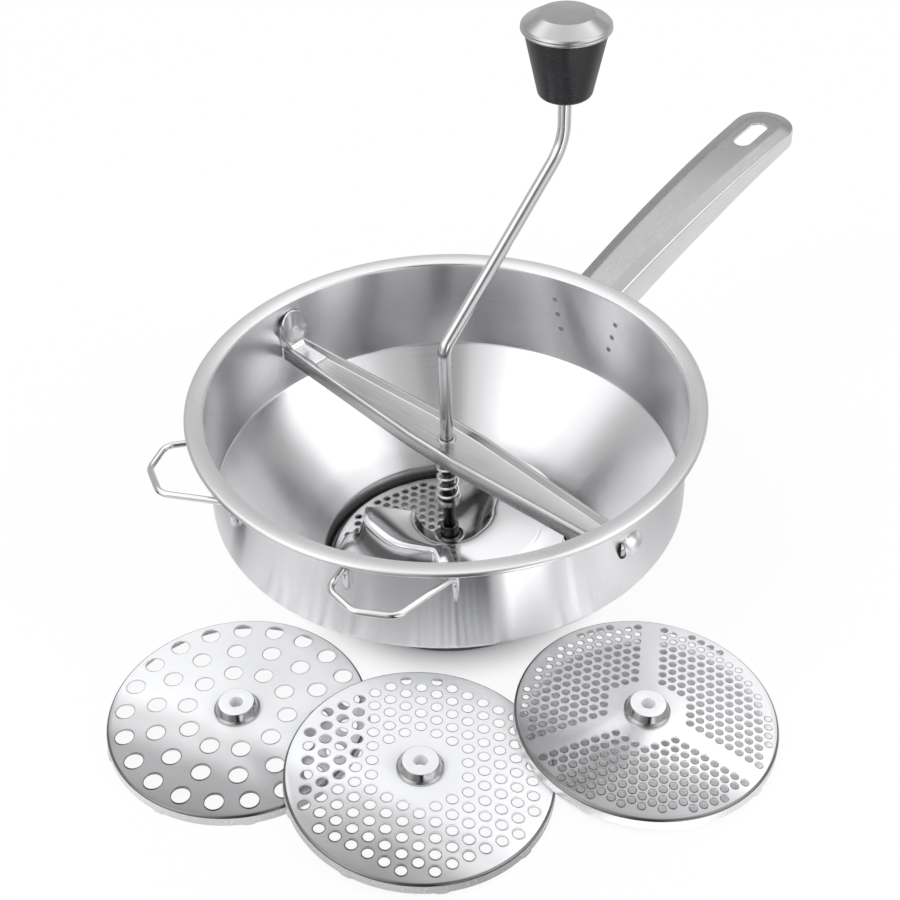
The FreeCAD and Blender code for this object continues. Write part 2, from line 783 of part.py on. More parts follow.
def blade_section(azimuth, seat, floor):
    """Top line of the blade from its collar to its outer edge, as (radius, height)."""
    crest, reach = float(S.blade_crest_height), float(S.blade_radius)
    crest_reach = between(CREST_REACH, azimuth)
    crest_height = floor + (crest - floor) * between(CREST_SHARE, azimuth)
    collar = float(S.blade_collar_radius) - 1.0
    wall_foot = (collar + crest_reach) / 2
    return [
        (collar, seat),
        (wall_foot, seat + (crest_height - seat) * 0.2),
        (crest_reach, crest_height),
        (between(FOLD_REACH, azimuth), floor + (crest - floor) * between(FOLD_SHARE, azimuth)),
        (reach, floor + (crest - float(S.wing_fall) - floor) * between(EDGE_SHARE, azimuth)),
    ]


def make_blade():
    """Pressing blade: one plate round a collar on the hub, a ploughing wing that turns into a high wing with a ramp."""
    gauge = float(S.blade_gauge)
    seat = float(HUB_FOOT + S.hub_flange_height) + gauge + float(S.weld_gap)
    floor = float(S.pan_gauge + S.disc_height + S.disc_crown / 2 + S.side_gap) + gauge
    bore = float(S.hub_radius) + float(S.weld_gap)
    places = {azimuth for keys in (CREST_REACH, CREST_SHARE, FOLD_REACH, EDGE_SHARE) for azimuth, _ in keys}
    places |= set(range(CREST_REACH[0][0], CREST_REACH[-1][0], BLADE_STEP))
    sections = []
    for azimuth in sorted(places):
        line = blade_section(azimuth, seat, floor)
        corners = [V(r, 0, z) for r, z in line] + [V(r, 0, z - gauge) for r, z in reversed(line)]
        section = Part.makePolygon(corners + corners[:1])
        section.rotate(V(0, 0, 0), UP, azimuth)
        sections.append(section)
    wings = Part.makeLoft(sections, True, True)
    collar = Part.makeCylinder(float(S.blade_collar_radius), gauge, V(0, 0, seat - gauge), UP)
    bore_tool = Part.makeCylinder(bore, 2 * gauge, V(0, 0, seat - 1.5 * gauge), UP)
    return set_shape("pressing_blade", collar.fuse(wings).cut(bore_tool))


# ---------------------------------------------------------------------------------------------------------------- knob
def make_knob():
    spot = turned(S.crank_azimuth).multiply(FreeCAD.Placement(polar(S.arm_radius, 0), FreeCAD.Rotation()))
    bush_bore = ROD_BORE
    bush_fit = S.knob_bush_radius + S.weld_gap
    floor = KNOB_TOP - S.knob_pocket_depth
    knob = new_body("knob")
    foot = S.knob_foot_rounding
    revolve(knob, "grip", [
        (bush_fit, S.knob_height),
        (S.knob_foot_radius - foot, S.knob_height),
        (S.knob_foot_radius - foot * 0.3, S.knob_height + foot * 0.3),
        (S.knob_foot_radius, S.knob_height + foot),
        (S.knob_head_radius, KNOB_TOP - 1.0),
        (S.knob_head_radius, KNOB_TOP),
        (S.knob_pocket_radius, KNOB_TOP),
        (S.knob_pocket_radius, floor),
        (bush_fit, floor),
    ])
    cap = new_body("knob_cap")
    bead_top = KNOB_TOP + S.weld_gap + S.cap_bead_height
    cap_top = KNOB_TOP + S.weld_gap + S.cap_height
    shoulder = S.cap_bead_radius - 1.6
    revolve(cap, "cap", [
        (0, cap_top - S.cap_gauge),
        (S.cap_top_radius - 0.6, cap_top - S.cap_gauge),
        (shoulder - 1.0, bead_top - 0.4),
        (shoulder - 1.0, KNOB_TOP + S.weld_gap),
        (S.cap_bead_radius - 0.7, KNOB_TOP + S.weld_gap),
        (S.cap_bead_radius, KNOB_TOP + S.weld_gap + S.cap_bead_height * 0.3),
        (S.cap_bead_radius, KNOB_TOP + S.weld_gap + S.cap_bead_height * 0.7),
        (S.cap_bead_radius - 0.7, bead_top),
        (shoulder, bead_top),
        (S.cap_top_radius, cap_top),
        (0, cap_top),
    ])
    bush = make_ring("knob_bushing", bush_bore, S.knob_bush_radius, S.knob_height + 0.5, floor)
    retainer = make_ring("knob_retainer", S.rod_diameter / 2 + S.pin_gap, S.retainer_radius,
                         floor + S.side_gap, floor + S.side_gap + S.retainer_thickness)
    pieces = [knob, cap, bush, retainer]
    for piece in pieces:
        piece.Placement = spot
    return pieces


# ------------------------------------------------------------------------------------------------------------ crossbar
def bar_outline(inset, reach):
    """Plan of the crossbar: widest in the middle, tapering evenly to both ends."""
    middle, end, half = S.bar_half_width - inset, S.bar_end_half_width - inset, S.bar_middle
    return [(-reach, -end), (-half, -middle), (half, -middle), (reach, -end),
            (reach, end), (half, middle), (-half, middle), (-reach, end)]


def make_crossbar():
    low = S.bar_top_height - S.bar_skirt
    floor = S.bar_top_height - S.bar_recess
    web_low = floor - S.bar_gauge
    body = new_body("crossbar")
    pad(body, "bar", bar_outline(Size(0), S.bar_reach), low, S.bar_skirt)
    pocket(body, "hollow", low, S.bar_skirt - S.bar_recess - S.bar_gauge,
           points=bar_outline(S.bar_gauge, S.bar_reach + 1))
    pocket(body, "recess", floor, S.bar_recess, points=bar_outline(S.bar_ridge_width, S.bar_reach + 1))
    pocket(body, "bushing_seat", web_low, 2 * S.bar_gauge, circle=((0, 0), S.bushing_radius + S.weld_gap))
    edge = S.tongue_half_width
    start = S.bar_reach - 3
    pad(body, "tongue", [(start, -edge), (S.tongue_reach, -edge * 0.7), (S.tongue_reach, edge * 0.7),
                         (start, edge)], web_low, S.bar_gauge)
    lip = S.tongue_reach - S.bar_gauge
    pad(body, "tongue_lip", [(lip, -edge * 0.7), (S.tongue_reach, -edge * 0.7), (S.tongue_reach, edge * 0.7),
                             (lip, edge * 0.7)], web_low, S.tongue_lip)
    body.Placement = turned(S.bar_azimuth + 180)
    return body


def make_release_tab():
    """Spring-steel thumb tab on the end of the crossbar: a foot on the web and an upright curved like a gutter."""
    gauge = float(S.tab_gauge)
    half = float(S.tab_width) / 2
    low = float(S.bar_top_height - S.bar_recess) + float(S.weld_gap)
    top = float(S.bar_top_height + S.tab_rise)
    outer = float(S.tab_outer_radius)
    curve = float(S.tab_curve_radius)
    foot_half = float(S.bar_end_half_width - S.bar_ridge_width) - float(S.weld_gap) * 2
    foot = Part.makeBox(float(S.tab_foot_reach), 2 * foot_half, gauge,
                        V(outer - 1.5 - float(S.tab_foot_reach), -foot_half, low))
    centre = V(outer - curve, 0, low)
    gutter = Part.makeCylinder(curve, top - low, centre, UP).cut(
        Part.makeCylinder(curve - gauge, top - low, centre, UP))
    waist = float(S.bar_top_height) + float(S.side_gap)
    front = [V(centre.x, -foot_half, low), V(centre.x, -foot_half, waist), V(centre.x, -half, waist + 4.5),
             V(centre.x, -half, top - 6.0), V(centre.x, -half + 1.6, top - 3.0), V(centre.x, -half + 4.4, top - 0.7),
             V(centre.x, -1.0, top)]
    front += [V(p.x, -p.y, p.z) for p in reversed(front)]
    outline = Part.Face(Part.makePolygon(front + front[:1]))
    upright = gutter.common(outline.extrude(V(curve, 0, 0)))
    shape = foot.fuse(upright).removeSplitter()
    return set_shape("crossbar_release_tab", shape, turned(S.bar_azimuth))


# -------------------------------------------------------------------------------------------------------------- handle
def handle_top(reach):
    """Height of the handle's top: it starts under the rim and rises in a flattening arch."""
    start = float(S.rim_height - 2 * S.rim_bead_radius - S.side_gap)
    run = max(reach - float(S.rim_bead_reach), 0.0)
    return start + float(S.handle_slope) * run - float(S.handle_sag) * run * run


def handle_section(reach, inset):
    """Inverted channel in section at one distance from the pan's axis."""
    root = float(S.rim_bead_reach)
    tip = float(S.handle_tip)
    share = min(max((reach - root) / (tip - root), 0.0), 1.0)
    half = float(S.handle_root_half_width) * (1 - share) + float(S.handle_tip_half_width) * share - inset
    if share < 0.5:
        depth = float(S.handle_root_depth) * (1 - 2 * share) + float(S.handle_mid_depth) * 2 * share
    else:
        depth = float(S.handle_mid_depth) * (2 - 2 * share) + float(S.handle_tip_depth) * (2 * share - 1)
    top = handle_top(reach) - inset
    low = handle_top(reach) - depth - (5.0 if inset else 0.0)
    soft = float(S.handle_shoulder) - inset * 0.6
    side = [V(reach, -half, low), V(reach, -half, top - soft), V(reach, -half + soft * 0.3, top - soft * 0.3),
            V(reach, -half + soft, top)]
    side += [V(reach, -p.y, p.z) for p in reversed(side)]
    return Part.makePolygon(side + side[:1])


def handle_plan(inset):
    """Plan of the handle: straight sides and a rounded end."""
    half = float(S.handle_tip_half_width) - inset
    tip = float(S.handle_tip) - inset
    soft = half * 0.8
    spots = [V(100, -half - 1, 0)]
    for step in range(-90, 91, 15):
        angle = math.radians(step)
        spots.append(V(tip - soft + soft * math.cos(angle), half * math.sin(angle), 0))
    spots.append(V(100, half + 1, 0))
    outline = Part.makePolygon(spots + spots[:1])
    return Part.Face(outline).extrude(V(0, 0, 200))


def make_handle():
    gauge = float(S.handle_gauge)
    wall = float(S.wall_radius) + float(S.weld_gap)
    reaches = (105.0, 120.0, 145.0, 175.0, 205.0, 235.0, 260.0, 290.0)
    outer = Part.makeLoft([handle_section(r, 0.0) for r in reaches], True, True).common(handle_plan(0.0))
    inner = Part.makeLoft([handle_section(r, gauge) for r in reaches], True, True).common(handle_plan(gauge))
    channel = outer.cut(inner).cut(Part.makeCylinder(wall, 200))
    slot_half = float(S.slot_width) / 2
    straight = float(S.slot_length) / 2 - slot_half
    middle = float(S.slot_centre)
    slot = Part.makeBox(2 * straight, 2 * slot_half, 80, V(middle - straight, -slot_half, 60))
    for end in (middle - straight, middle + straight):
        slot = slot.fuse(Part.makeCylinder(slot_half, 80, V(end, 0, 60), UP))
    channel = channel.cut(slot)
    top = handle_top(0.0) - float(S.side_gap)
    shell = Part.makeCylinder(wall + gauge, 200).cut(Part.makeCylinder(wall, 200))
    middle = wall * math.sin(math.radians(float(S.ear_angle)))
    ear_half = float(S.ear_half_width)
    inner_edge = float(S.handle_root_half_width) - gauge
    ears = []
    for side in (-1, 1):
        spots = [(inner_edge, top), (middle + ear_half, top - 2.0),
                 (middle + ear_half * 0.5, top - float(S.ear_height)),
                 (middle - ear_half * 0.6, top - float(S.ear_height)),
                 (inner_edge, top - float(S.handle_root_depth) * 0.9)]
        spots = [V(wall / 2, side * y, z) for y, z in spots]
        beam = Part.Face(Part.makePolygon(spots + spots[:1])).extrude(V(wall, 0, 0))
        ears.append(shell.common(beam))
    shape = channel.fuse(ears).removeSplitter()
    return set_shape("handle", shape, turned(S.handle_azimuth))


def make_handle_welds():
    """Spot welds of both ears, seen as low buttons on the inside of the wall."""
    wall = float(S.wall_radius - S.pan_gauge) - 0.02
    ring = Part.makeCylinder(wall, 200).cut(Part.makeCylinder(wall - float(S.weld_proud), 200))
    buttons = []
    top = float(S.rim_height) - 14.0
    for side in (-1, 1):
        for step in range(3):
            azimuth = side * float(S.ear_angle) * (1.1 - 0.11 * step)
            height = top - step * float(S.weld_pitch)
            start = polar(wall - 6, azimuth, height)
            across = polar(1, azimuth + 90)
            rim = []
            for k in range(WIRE_SIDES):
                angle = 2 * math.pi * k / WIRE_SIDES
                rim.append(start + across * (float(S.weld_radius) * math.cos(angle))
                           + UP * (float(S.weld_radius) * math.sin(angle)))
            peg = Part.Face(Part.makePolygon(rim + rim[:1])).extrude(polar(12, azimuth))
            buttons.append(peg.common(ring))
    return set_shape("handle_spot_welds", Part.makeCompound(buttons), turned(S.handle_azimuth))


# ----------------------------------------------------------------------------------------------------------- pot rests
def make_hook(label, azimuth):
    """Bent wire welded to the wall under the rim, which holds the pan on the edge of a pot."""
    wire = float(S.hook_wire)
    beside = float(S.wall_radius) + wire / 2 + float(S.weld_gap)
    level = float(S.hook_height)
    tail = V(0, 0, -float(S.hook_tail))
    feet = [V(math.sqrt(beside ** 2 - side ** 2), side, level)
            for side in (-float(S.hook_near_foot), float(S.hook_far_foot))]
    corners = [
        feet[0] + tail,
        feet[0],
        V(float(S.hook_side_reach), -float(S.hook_near_side), level),
        V(float(S.hook_end_reach), -float(S.hook_near_end), level),
        V(float(S.hook_end_reach), float(S.hook_far_end), level),
        feet[1],
        feet[1] + tail,
    ]
    bend = float(S.hook_bend_radius)
    return set_shape(label, bent_wire(corners, [wire, bend, bend, bend, wire], wire), turned(azimuth))


# --------------------------------------------------------------------------------------------------------------- build
pan_body = make_pan()
pieces = [finish_pan(pan_body)]
pieces += make_discs()
pieces += make_shaft_line()
pieces += make_knob()
pieces += [
    make_blade(),
    make_crossbar(),
    make_release_tab(),
    make_handle(),
    make_handle_welds(),
    make_hook("pot_rest_left", S.left_hook_azimuth),
    make_hook("pot_rest_front", S.front_hook_azimuth),
]
doc.recompute()

for item in doc.Objects:
    if "Invalid" in item.State or "Error" in item.State:
        raise ValueError(f"{item.Label} failed: {item.State}")
for piece in pieces:
    if piece.Shape.isNull() or not piece.Shape.isValid():
        raise ValueError(f"{piece.Label} has no valid shape")

os.makedirs("parts", exist_ok=True)
for piece in pieces:
    piece.Shape.exportStep(f"parts/{piece.Label}.step")
    box = piece.Shape.BoundBox
    print(f"{piece.Label:26s} solids {len(piece.Shape.Solids)} volume {piece.Shape.Volume:9.1f}"
          f" x {box.XMin:7.1f} {box.XMax:7.1f} y {box.YMin:7.1f} {box.YMax:7.1f} z {box.ZMin:6.1f} {box.ZMax:6.1f}")
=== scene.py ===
import json
import math
import bmesh
import bpy
from functools import partial
from mathutils import Matrix, Vector
from mathutils.geometry import delaunay_2d_cdt
from mathutils.kdtree import KDTree


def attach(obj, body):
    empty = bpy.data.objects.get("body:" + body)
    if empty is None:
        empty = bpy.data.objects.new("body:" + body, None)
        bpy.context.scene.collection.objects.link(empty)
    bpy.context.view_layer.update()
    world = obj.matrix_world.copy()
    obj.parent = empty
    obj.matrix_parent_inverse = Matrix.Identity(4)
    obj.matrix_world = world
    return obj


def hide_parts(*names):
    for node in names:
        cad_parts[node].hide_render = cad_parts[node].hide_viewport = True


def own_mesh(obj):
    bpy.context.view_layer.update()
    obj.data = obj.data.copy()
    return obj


# Rotary food mill: looks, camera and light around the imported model. Z up, origin on the pan's axis.
# Pieces are drawn in millimetres and degrees. Camera, lamps and shaders are in metres.
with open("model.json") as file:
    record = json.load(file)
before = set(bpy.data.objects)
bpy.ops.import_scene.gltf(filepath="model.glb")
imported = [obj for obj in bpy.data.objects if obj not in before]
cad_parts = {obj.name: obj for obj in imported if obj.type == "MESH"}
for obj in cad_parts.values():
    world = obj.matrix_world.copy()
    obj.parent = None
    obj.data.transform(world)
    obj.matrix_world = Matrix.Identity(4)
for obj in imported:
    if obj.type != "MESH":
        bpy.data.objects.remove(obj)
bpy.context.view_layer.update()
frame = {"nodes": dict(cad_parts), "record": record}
MM = 0.001
BODY_OF = {node: body for body, nodes in frame["record"]["behaviour"]["bodies"].items() for node in nodes}
COARSE_DISC = (-95.8, -102.8, 0.0)  # x and y of a spare disc's middle, and its lean
MEDIUM_DISC = (-13.4, -141.5, 3.85)
FINE_DISC = (86.7, -110.8, 3.72)


# ---------- camera
PITCH, YAW, ROLL = 39.29, 1.15, -1.73
CAMERA_PLACE = (0.01361, -0.61105, 0.57206)
SENSOR_WIDTH, LENS = 36, 66.9  # millimetres


def turned(degrees, axis="Z"):
    return Matrix.Rotation(math.radians(degrees), 4, axis)


def make_camera():
    """The photograph's camera: about 0.85 m away, looking down at 39 degrees."""
    camera = bpy.data.objects.new("photo_camera", bpy.data.cameras.new("photo_camera"))
    camera.data.sensor_width, camera.data.lens = SENSOR_WIDTH, LENS
    camera.data.clip_end = 20
    aim = turned(YAW) @ turned(90 - PITCH, "X") @ turned(ROLL)
    camera.matrix_world = Matrix.Translation(CAMERA_PLACE) @ aim
    bpy.context.scene.collection.objects.link(camera)
    bpy.context.scene.camera = camera


# ---------- shader nodes
def add_node(tree, kind, inputs, **settings):
    """Outputs of a new node with its settings, and its inputs as values or as outputs of other nodes."""
    node = tree.nodes.new("ShaderNode" + kind)
    for name, value in settings.items():
        setattr(node, name, value)
    for name, value in inputs.items():
        if isinstance(value, bpy.types.NodeSocket):
            tree.links.new(value, node.inputs[name])
        else:
            node.inputs[name].default_value = value
    return node.outputs


def add_math(tree, kind, *values):
    return add_node(tree, "Math", dict(enumerate(values)), operation=kind)[0]


def add_ramp(tree, value, stops):
    """Grey that runs smoothly through (place, level) stops, with the faint blue of steel."""
    node = tree.nodes.new("ShaderNodeValToRGB")
    ramp = node.color_ramp
    ramp.interpolation = "EASE"
    while len(ramp.elements) < len(stops):
        ramp.elements.new(0.5)
    for element, (place, level) in zip(ramp.elements, stops):
        element.position = place
        element.color = (level, level, level * 1.01, 1)
    tree.links.new(value, node.inputs[0])
    return node.outputs[0]


def add_smooth(tree, value, low, high):
    """0 under the low value, 1 over the high one and smooth between them."""
    inputs = {"From Min": low, "From Max": high, "Value": value}
    return add_node(tree, "MapRange", inputs, interpolation_type="SMOOTHSTEP")["Result"]


def add_blend(tree, share, low, high):
    """Mix of two colours."""
    return add_node(tree, "Mix", {"Factor": share, "A": low, "B": high}, data_type="RGBA")["Result"]


def add_mix(tree, share, first, second):
    """Mix of two shaders."""
    return add_node(tree, "MixShader", {0: share, 1: first, 2: second})[0]


def reach_from(tree, parts, x=0.0, y=0.0):
    """Distance in plan from a place."""
    aside = add_math(tree, "SUBTRACT", parts["X"], x)
    along = add_math(tree, "SUBTRACT", parts["Y"], y)
    squares = [add_math(tree, "MULTIPLY", length, length) for length in (aside, along)]
    return add_math(tree, "SQRT", add_math(tree, "ADD", *squares))


def azimuth_of(tree, space):
    """Share of a turn of a direction or place, with the camera's side in the middle, and its parts."""
    parts = add_node(tree, "SeparateXYZ", {0: add_node(tree, "TexCoord", {})[space]})
    behind = add_math(tree, "MULTIPLY", parts["Y"], -1.0)
    azimuth = add_math(tree, "ARCTAN2", parts["X"], behind)
    return add_math(tree, "MULTIPLY_ADD", azimuth, 0.5 / math.pi, 0.5), parts


# ---------- world, lamps and table
# What polished metal mirrors all round, as (degrees to the right of the camera's side, brightness): softboxes
# with gaps between them. Walls turn each gap into an upright dark stripe.
AT_TABLE = ((-180, 0.6), (-150, 0.6), (-130, 0.62), (-116, 0.55), (-100, 0.45), (-88, 0.4), (-85, 0.03),
            (-81, 0.03), (-78, 0.5), (-71, 0.65), (-60, 0.7), (-46, 0.78), (-32, 0.45), (-20, 0.3), (-6, 0.3),
            (-1, 0.15), (4, 0.02), (12, 0.02), (17, 0.6), (21, 1.5), (31, 1.5), (38, 0.75), (48, 0.7),
            (58, 0.85), (68, 0.7), (77, 0.55), (92, 0.45), (106, 0.5), (118, 0.75), (135, 0.7), (158, 0.6),
            (180, 0.6))
ABOVE = ((-180, 1.1), (-165, 0.8), (-150, 0.6), (-124, 0.45), (-104, 0.75), (-88, 1.1), (-72, 1.5),
         (-50, 1.5), (-34, 1.0), (-20, 0.7), (-6, 0.2), (12, 0.12), (24, 0.35), (40, 0.5), (52, 1.1),
         (70, 1.45), (92, 1.25), (104, 0.9), (120, 0.7), (140, 0.5), (158, 1.1), (180, 1.1))
# The part of the world behind the object, as (height of the direction, brightness).
BACKDROP = ((0.0, 0.5), (0.45, 0.46), (0.64, 0.5), (0.70, 1.3), (0.78, 1.5), (0.85, 1.3), (0.93, 1.15),
            (1.0, 0.9))
# Parts of a unit direction between which one area of the world fades into the next.
FROM_TABLE_UP, BEHIND, RAISED, OVERHEAD = (0.05, 0.4), (0.0, 0.3), (0.2, 0.42), (0.86, 0.97)
WHITE, EVEN_LIGHT, TABLE_PAINT = (1, 1, 1, 1), (0.62, 0.63, 0.65, 1), (0.9, 0.9, 0.9, 1)
# Name, place, width, height and power of each lamp.
LAMPS = (("key_softbox", (-0.9, -0.5, 1.5), 0.9, 0.9, 12), ("fill_softbox", (1.3, -0.6, 1.0), 0.5, 1.2, 8),
         ("back_softbox", (0.2, 1.6, 1.3), 1.6, 0.5, 8))
LAMP_AIM = Vector((0, 0, 0.05))
TABLE_HALF, TABLE_GLOW = 6000, 0.93
# Distances over which the table turns bright: from the pan, from the fine disc, and in what metal mirrors.
PAN_SHADE, DISC_SHADE, FAR_TABLE = (0.056, 0.085), (0.050, 0.057), (0.125, 0.2)


def surround(tree, azimuth, row):
    """Brightness of the surround at an azimuth."""
    return add_ramp(tree, azimuth, [(0.5 + degrees / 360, value) for degrees, value in row])


def make_world():
    """White studio: white to the camera, softboxes and gaps to polished metal, even light to all else."""
    world = bpy.data.worlds.new("studio")
    bpy.context.scene.world = world
    world.use_nodes = True
    tree = world.node_tree
    tree.nodes.clear()
    azimuth, parts = azimuth_of(tree, "Generated")
    lifted = add_smooth(tree, parts["Z"], *FROM_TABLE_UP)
    around = add_blend(tree, lifted, surround(tree, azimuth, AT_TABLE), surround(tree, azimuth, ABOVE))
    behind = add_smooth(tree, parts["Y"], *BEHIND)
    raised = add_smooth(tree, parts["Z"], *RAISED)
    overhead = add_smooth(tree, parts["Z"], *OVERHEAD)
    upward = add_math(tree, "MAXIMUM", add_math(tree, "MULTIPLY", behind, raised), overhead)
    mirrored = add_blend(tree, upward, around, add_ramp(tree, parts["Z"], BACKDROP))
    lit, by_metal, seen = (add_node(tree, "Background", {"Color": colour})[0]
                           for colour in (EVEN_LIGHT, mirrored, WHITE))
    path = add_node(tree, "LightPath", {})
    unseen = add_mix(tree, path["Is Glossy Ray"], lit, by_metal)
    add_node(tree, "OutputWorld", {0: add_mix(tree, path["Is Camera Ray"], unseen, seen)})


def make_lamps():
    for name, place, width, height, power in LAMPS:
        data = bpy.data.lights.new(name, "AREA")
        data.shape = "RECTANGLE"
        data.size, data.size_y = width, height
        data.energy = power
        lamp = bpy.data.objects.new(name, data)
        lamp.location = place
        lamp.rotation_mode = "QUATERNION"
        lamp.rotation_quaternion = (LAMP_AIM - Vector(place)).to_track_quat("-Z", "Y")
        lamp.visible_glossy = False
        bpy.context.scene.collection.objects.link(lamp)


def make_table():
    """White table with soft contact shadows; metal sees the surround's gaps carried on over its far parts."""
    corners = [(x * TABLE_HALF, y * TABLE_HALF, 0) for x, y in ((-1, -1), (1, -1), (1, 1), (-1, 1))]
    table = make_mesh("table", corners, [(0, 1, 2, 3)])
    material = bpy.data.materials.new("table_white")
    material.use_nodes = True
    tree = material.node_tree
    tree.nodes.clear()
    azimuth, parts = azimuth_of(tree, "Object")
    reach = reach_from(tree, parts)
    from_disc = reach_from(tree, parts, FINE_DISC[0] * MM, FINE_DISC[1] * MM)
    outside = add_math(tree, "MULTIPLY", add_smooth(tree, reach, *PAN_SHADE), TABLE_GLOW)
    outside = add_math(tree, "MULTIPLY", outside, add_smooth(tree, from_disc, *DISC_SHADE))
    paint = add_node(tree, "BsdfDiffuse", {"Color": TABLE_PAINT})[0]
    glow = add_node(tree, "Emission", {"Color": WHITE})[0]
    sheen = add_node(tree, "Emission", {"Color": surround(tree, azimuth, AT_TABLE)})[0]
    path = add_node(tree, "LightPath", {})
    glowing = add_math(tree, "MULTIPLY", path["Is Camera Ray"], outside)
    shining = add_math(tree, "MULTIPLY", path["Is Glossy Ray"], add_smooth(tree, reach, *FAR_TABLE))
    add_node(tree, "OutputMaterial", {0: add_mix(tree, shining, add_mix(tree, glowing, paint, glow), sheen)})
    table.data.materials.append(material)


# ---------- materials
NOISE_LOW, NOISE_HIGH = 0.25, 0.75  # the range that most of a noise lies in
SPUN_SQUEEZE = 0.002  # how far lathe lines are drawn out round the axis
BRUSH_SQUEEZE = 0.03  # how far brushing lines are drawn out along their run
PAINTED_LIGHT_SWEEP = (0.4, 0.92, 0)  # direction in plan from a spare disc's side of painted shade to its side of painted light


class Shader:
    """A Principled material with short calls that add procedural detail in object coordinates."""

    def __init__(self, name, colour, roughness, metallic=1.0):
        self.material = bpy.data.materials.new(name)
        self.material.use_nodes = True
        self.tree = self.material.node_tree
        self.node = partial(add_node, self.tree)
        self.base = self.tree.nodes["Principled BSDF"].inputs
        self.base["Base Color"].default_value = (*colour, 1)
        self.base["Metallic"].default_value = metallic
        self.base["Roughness"].default_value = roughness
        self.place = self.node("TexCoord", {})["Object"]

    def feed(self, name, value):
        """Let another node's output drive an input of the material."""
        self.tree.links.new(value, self.base[name])

    def grain_across(self, amount):
        """Blur reflections across the lathe rings, as spun metal does."""
        self.feed("Tangent", self.node("Tangent", {}, direction_type="RADIAL", axis="Z")[0])
        self.base["Anisotropic"].default_value = amount
        self.base["Anisotropic Rotation"].default_value = 0.25

    def spun(self):
        """Coordinates (radius, small turn, height) about the upright axis, for lathe and polishing lines."""
        parts = self.node("SeparateXYZ", {0: self.place})
        turn = add_math(self.tree, "ARCTAN2", parts["Y"], parts["X"])
        turn = add_math(self.tree, "MULTIPLY", turn, SPUN_SQUEEZE)
        return self.node("CombineXYZ", {0: reach_from(self.tree, parts), 1: turn, 2: parts["Z"]})[0]

    def brushed(self, azimuth):
        """Coordinates squeezed along one direction in plan, for brushing lines."""
        inputs = {"Rotation": (0, 0, math.radians(azimuth)), "Scale": (1 / BRUSH_SQUEEZE, 1, 1)}
        return self.node("Mapping", {"Vector": self.place, **inputs}, vector_type="TEXTURE")[0]

    def noise(self, scale, detail, place=None):
        inputs = {"Scale": scale, "Detail": detail, "Vector": place or self.place}
        return self.node("TexNoise", inputs)["Fac"]

    def spread(self, value, low, high):
        """Map a noise to a range."""
        inputs = {"From Min": NOISE_LOW, "From Max": NOISE_HIGH, "To Min": low, "To Max": high}
        return self.node("MapRange", {"Value": value, **inputs})["Result"]

    def graded(self, name, place, stops, patches, wander, scale, shift):
        """Drive an input by (millimetres, value) stops along a place, their borders made uneven by noise."""
        place = add_math(self.tree, "ADD", place, self.spread(self.noise(patches, 2), -wander, wander))
        level = add_math(self.tree, "MULTIPLY_ADD", place, scale, shift)
        self.feed(name, add_ramp(self.tree, level, [(shift + at * MM * scale, value) for at, value in stops]))

    def paint_shade_by_height(self, stops):
        """Painted shade: base grey that changes with height."""
        height = self.node("SeparateXYZ", {0: self.place})["Z"]
        self.graded("Base Color", height, stops, patches=40, wander=0.0005, scale=4.0, shift=0.0)

    def paint_light_across(self, name, stops):
        """Painted shade and light: an input that changes from the dull front left to the bright back right.
        """
        along = self.node("VectorMath", {0: self.place, 1: PAINTED_LIGHT_SWEEP}, operation="DOT_PRODUCT")["Value"]
        self.graded(name, along, stops, patches=25, wander=0.003, scale=5.0, shift=0.5)

    def tint(self, scale, detail, dark, light):
        """Base colour that wanders between two colours in patches."""
        share = self.spread(self.noise(scale, detail), 0, 1)
        self.feed("Base Color", add_blend(self.tree, share, (*dark, 1), (*light, 1)))

    def rough(self, value, low, high):
        self.feed("Roughness", self.spread(value, low, high))

    def bump(self, value, distance, strength):
        inputs = {"Strength": strength, "Distance": distance, "Height": value}
        before = self.base["Normal"].links
        if before:
            inputs["Normal"] = before[0].from_socket
        self.feed("Normal", self.node("Bump", inputs)[0])


def steel(light, blue=1.0):
    """A grey, with more blue on request."""
    return light, light, light * blue


def spun_steel(name, roughness, light=0.78, grain=0.8, heights=None, sweep=None):
    """Sheet steel polished on a lathe: fine rings and a faint waviness, with painted shade by height or
    painted shade and light across a disc when asked for.
    """
    shader = Shader(name, steel(light), roughness)
    rings = shader.noise(900, 2, shader.spun())
    shader.rough(rings, roughness * 0.93, roughness * 1.08)
    if heights:
        shader.paint_shade_by_height(heights)
    elif sweep:
        for socket, stops in sweep.items():
            shader.paint_light_across(socket, stops)
    else:
        shader.tint(22, 2, steel(light * 0.96), steel(light * 1.03, 1.005))
    shader.bump(rings, 0.000001, 0.1)
    shader.bump(shader.noise(30, 1), 0.0002, 0.15)
    shader.grain_across(grain)
    return shader.material


def brushed_steel(name, roughness, azimuth, light):
    """Sheet steel brushed along one direction."""
    shader = Shader(name, steel(light), roughness)
    lines = shader.noise(1800, 2, shader.brushed(azimuth))
    shader.rough(lines, roughness * 0.75, roughness * 1.3)
    shader.tint(30, 2, steel(light * 0.94), steel(light * 1.03, 1.005))
    shader.bump(lines, 0.000003, 0.4)
    shader.bump(shader.noise(40, 2), 0.0003, 0.2)
    return shader.material


def plated_wire(name, roughness, light=0.8, heights=None, satin=0.0):
    """Bright bent bar or turned piece: nearly a mirror, with faint draw marks and, when asked for, painted
    shade by height.
    """
    shader = Shader(name, steel(light), roughness, 1.0 - satin)
    if heights:
        shader.paint_shade_by_height(heights)
    marks = shader.noise(600, 2)
    shader.rough(marks, roughness * 0.7, roughness * 1.5)
    shader.bump(marks, 0.00001, 0.2)
    return shader.material


def satin_cap(name):
    """Smooth stamped cap with a slow, faint unevenness."""
    shader = Shader(name, (0.6, 0.6, 0.605), 0.25)
    shader.rough(shader.noise(90, 1), 0.22, 0.28)
    shader.tint(60, 1, (0.55, 0.55, 0.555), (0.65, 0.65, 0.655))
    return shader.material


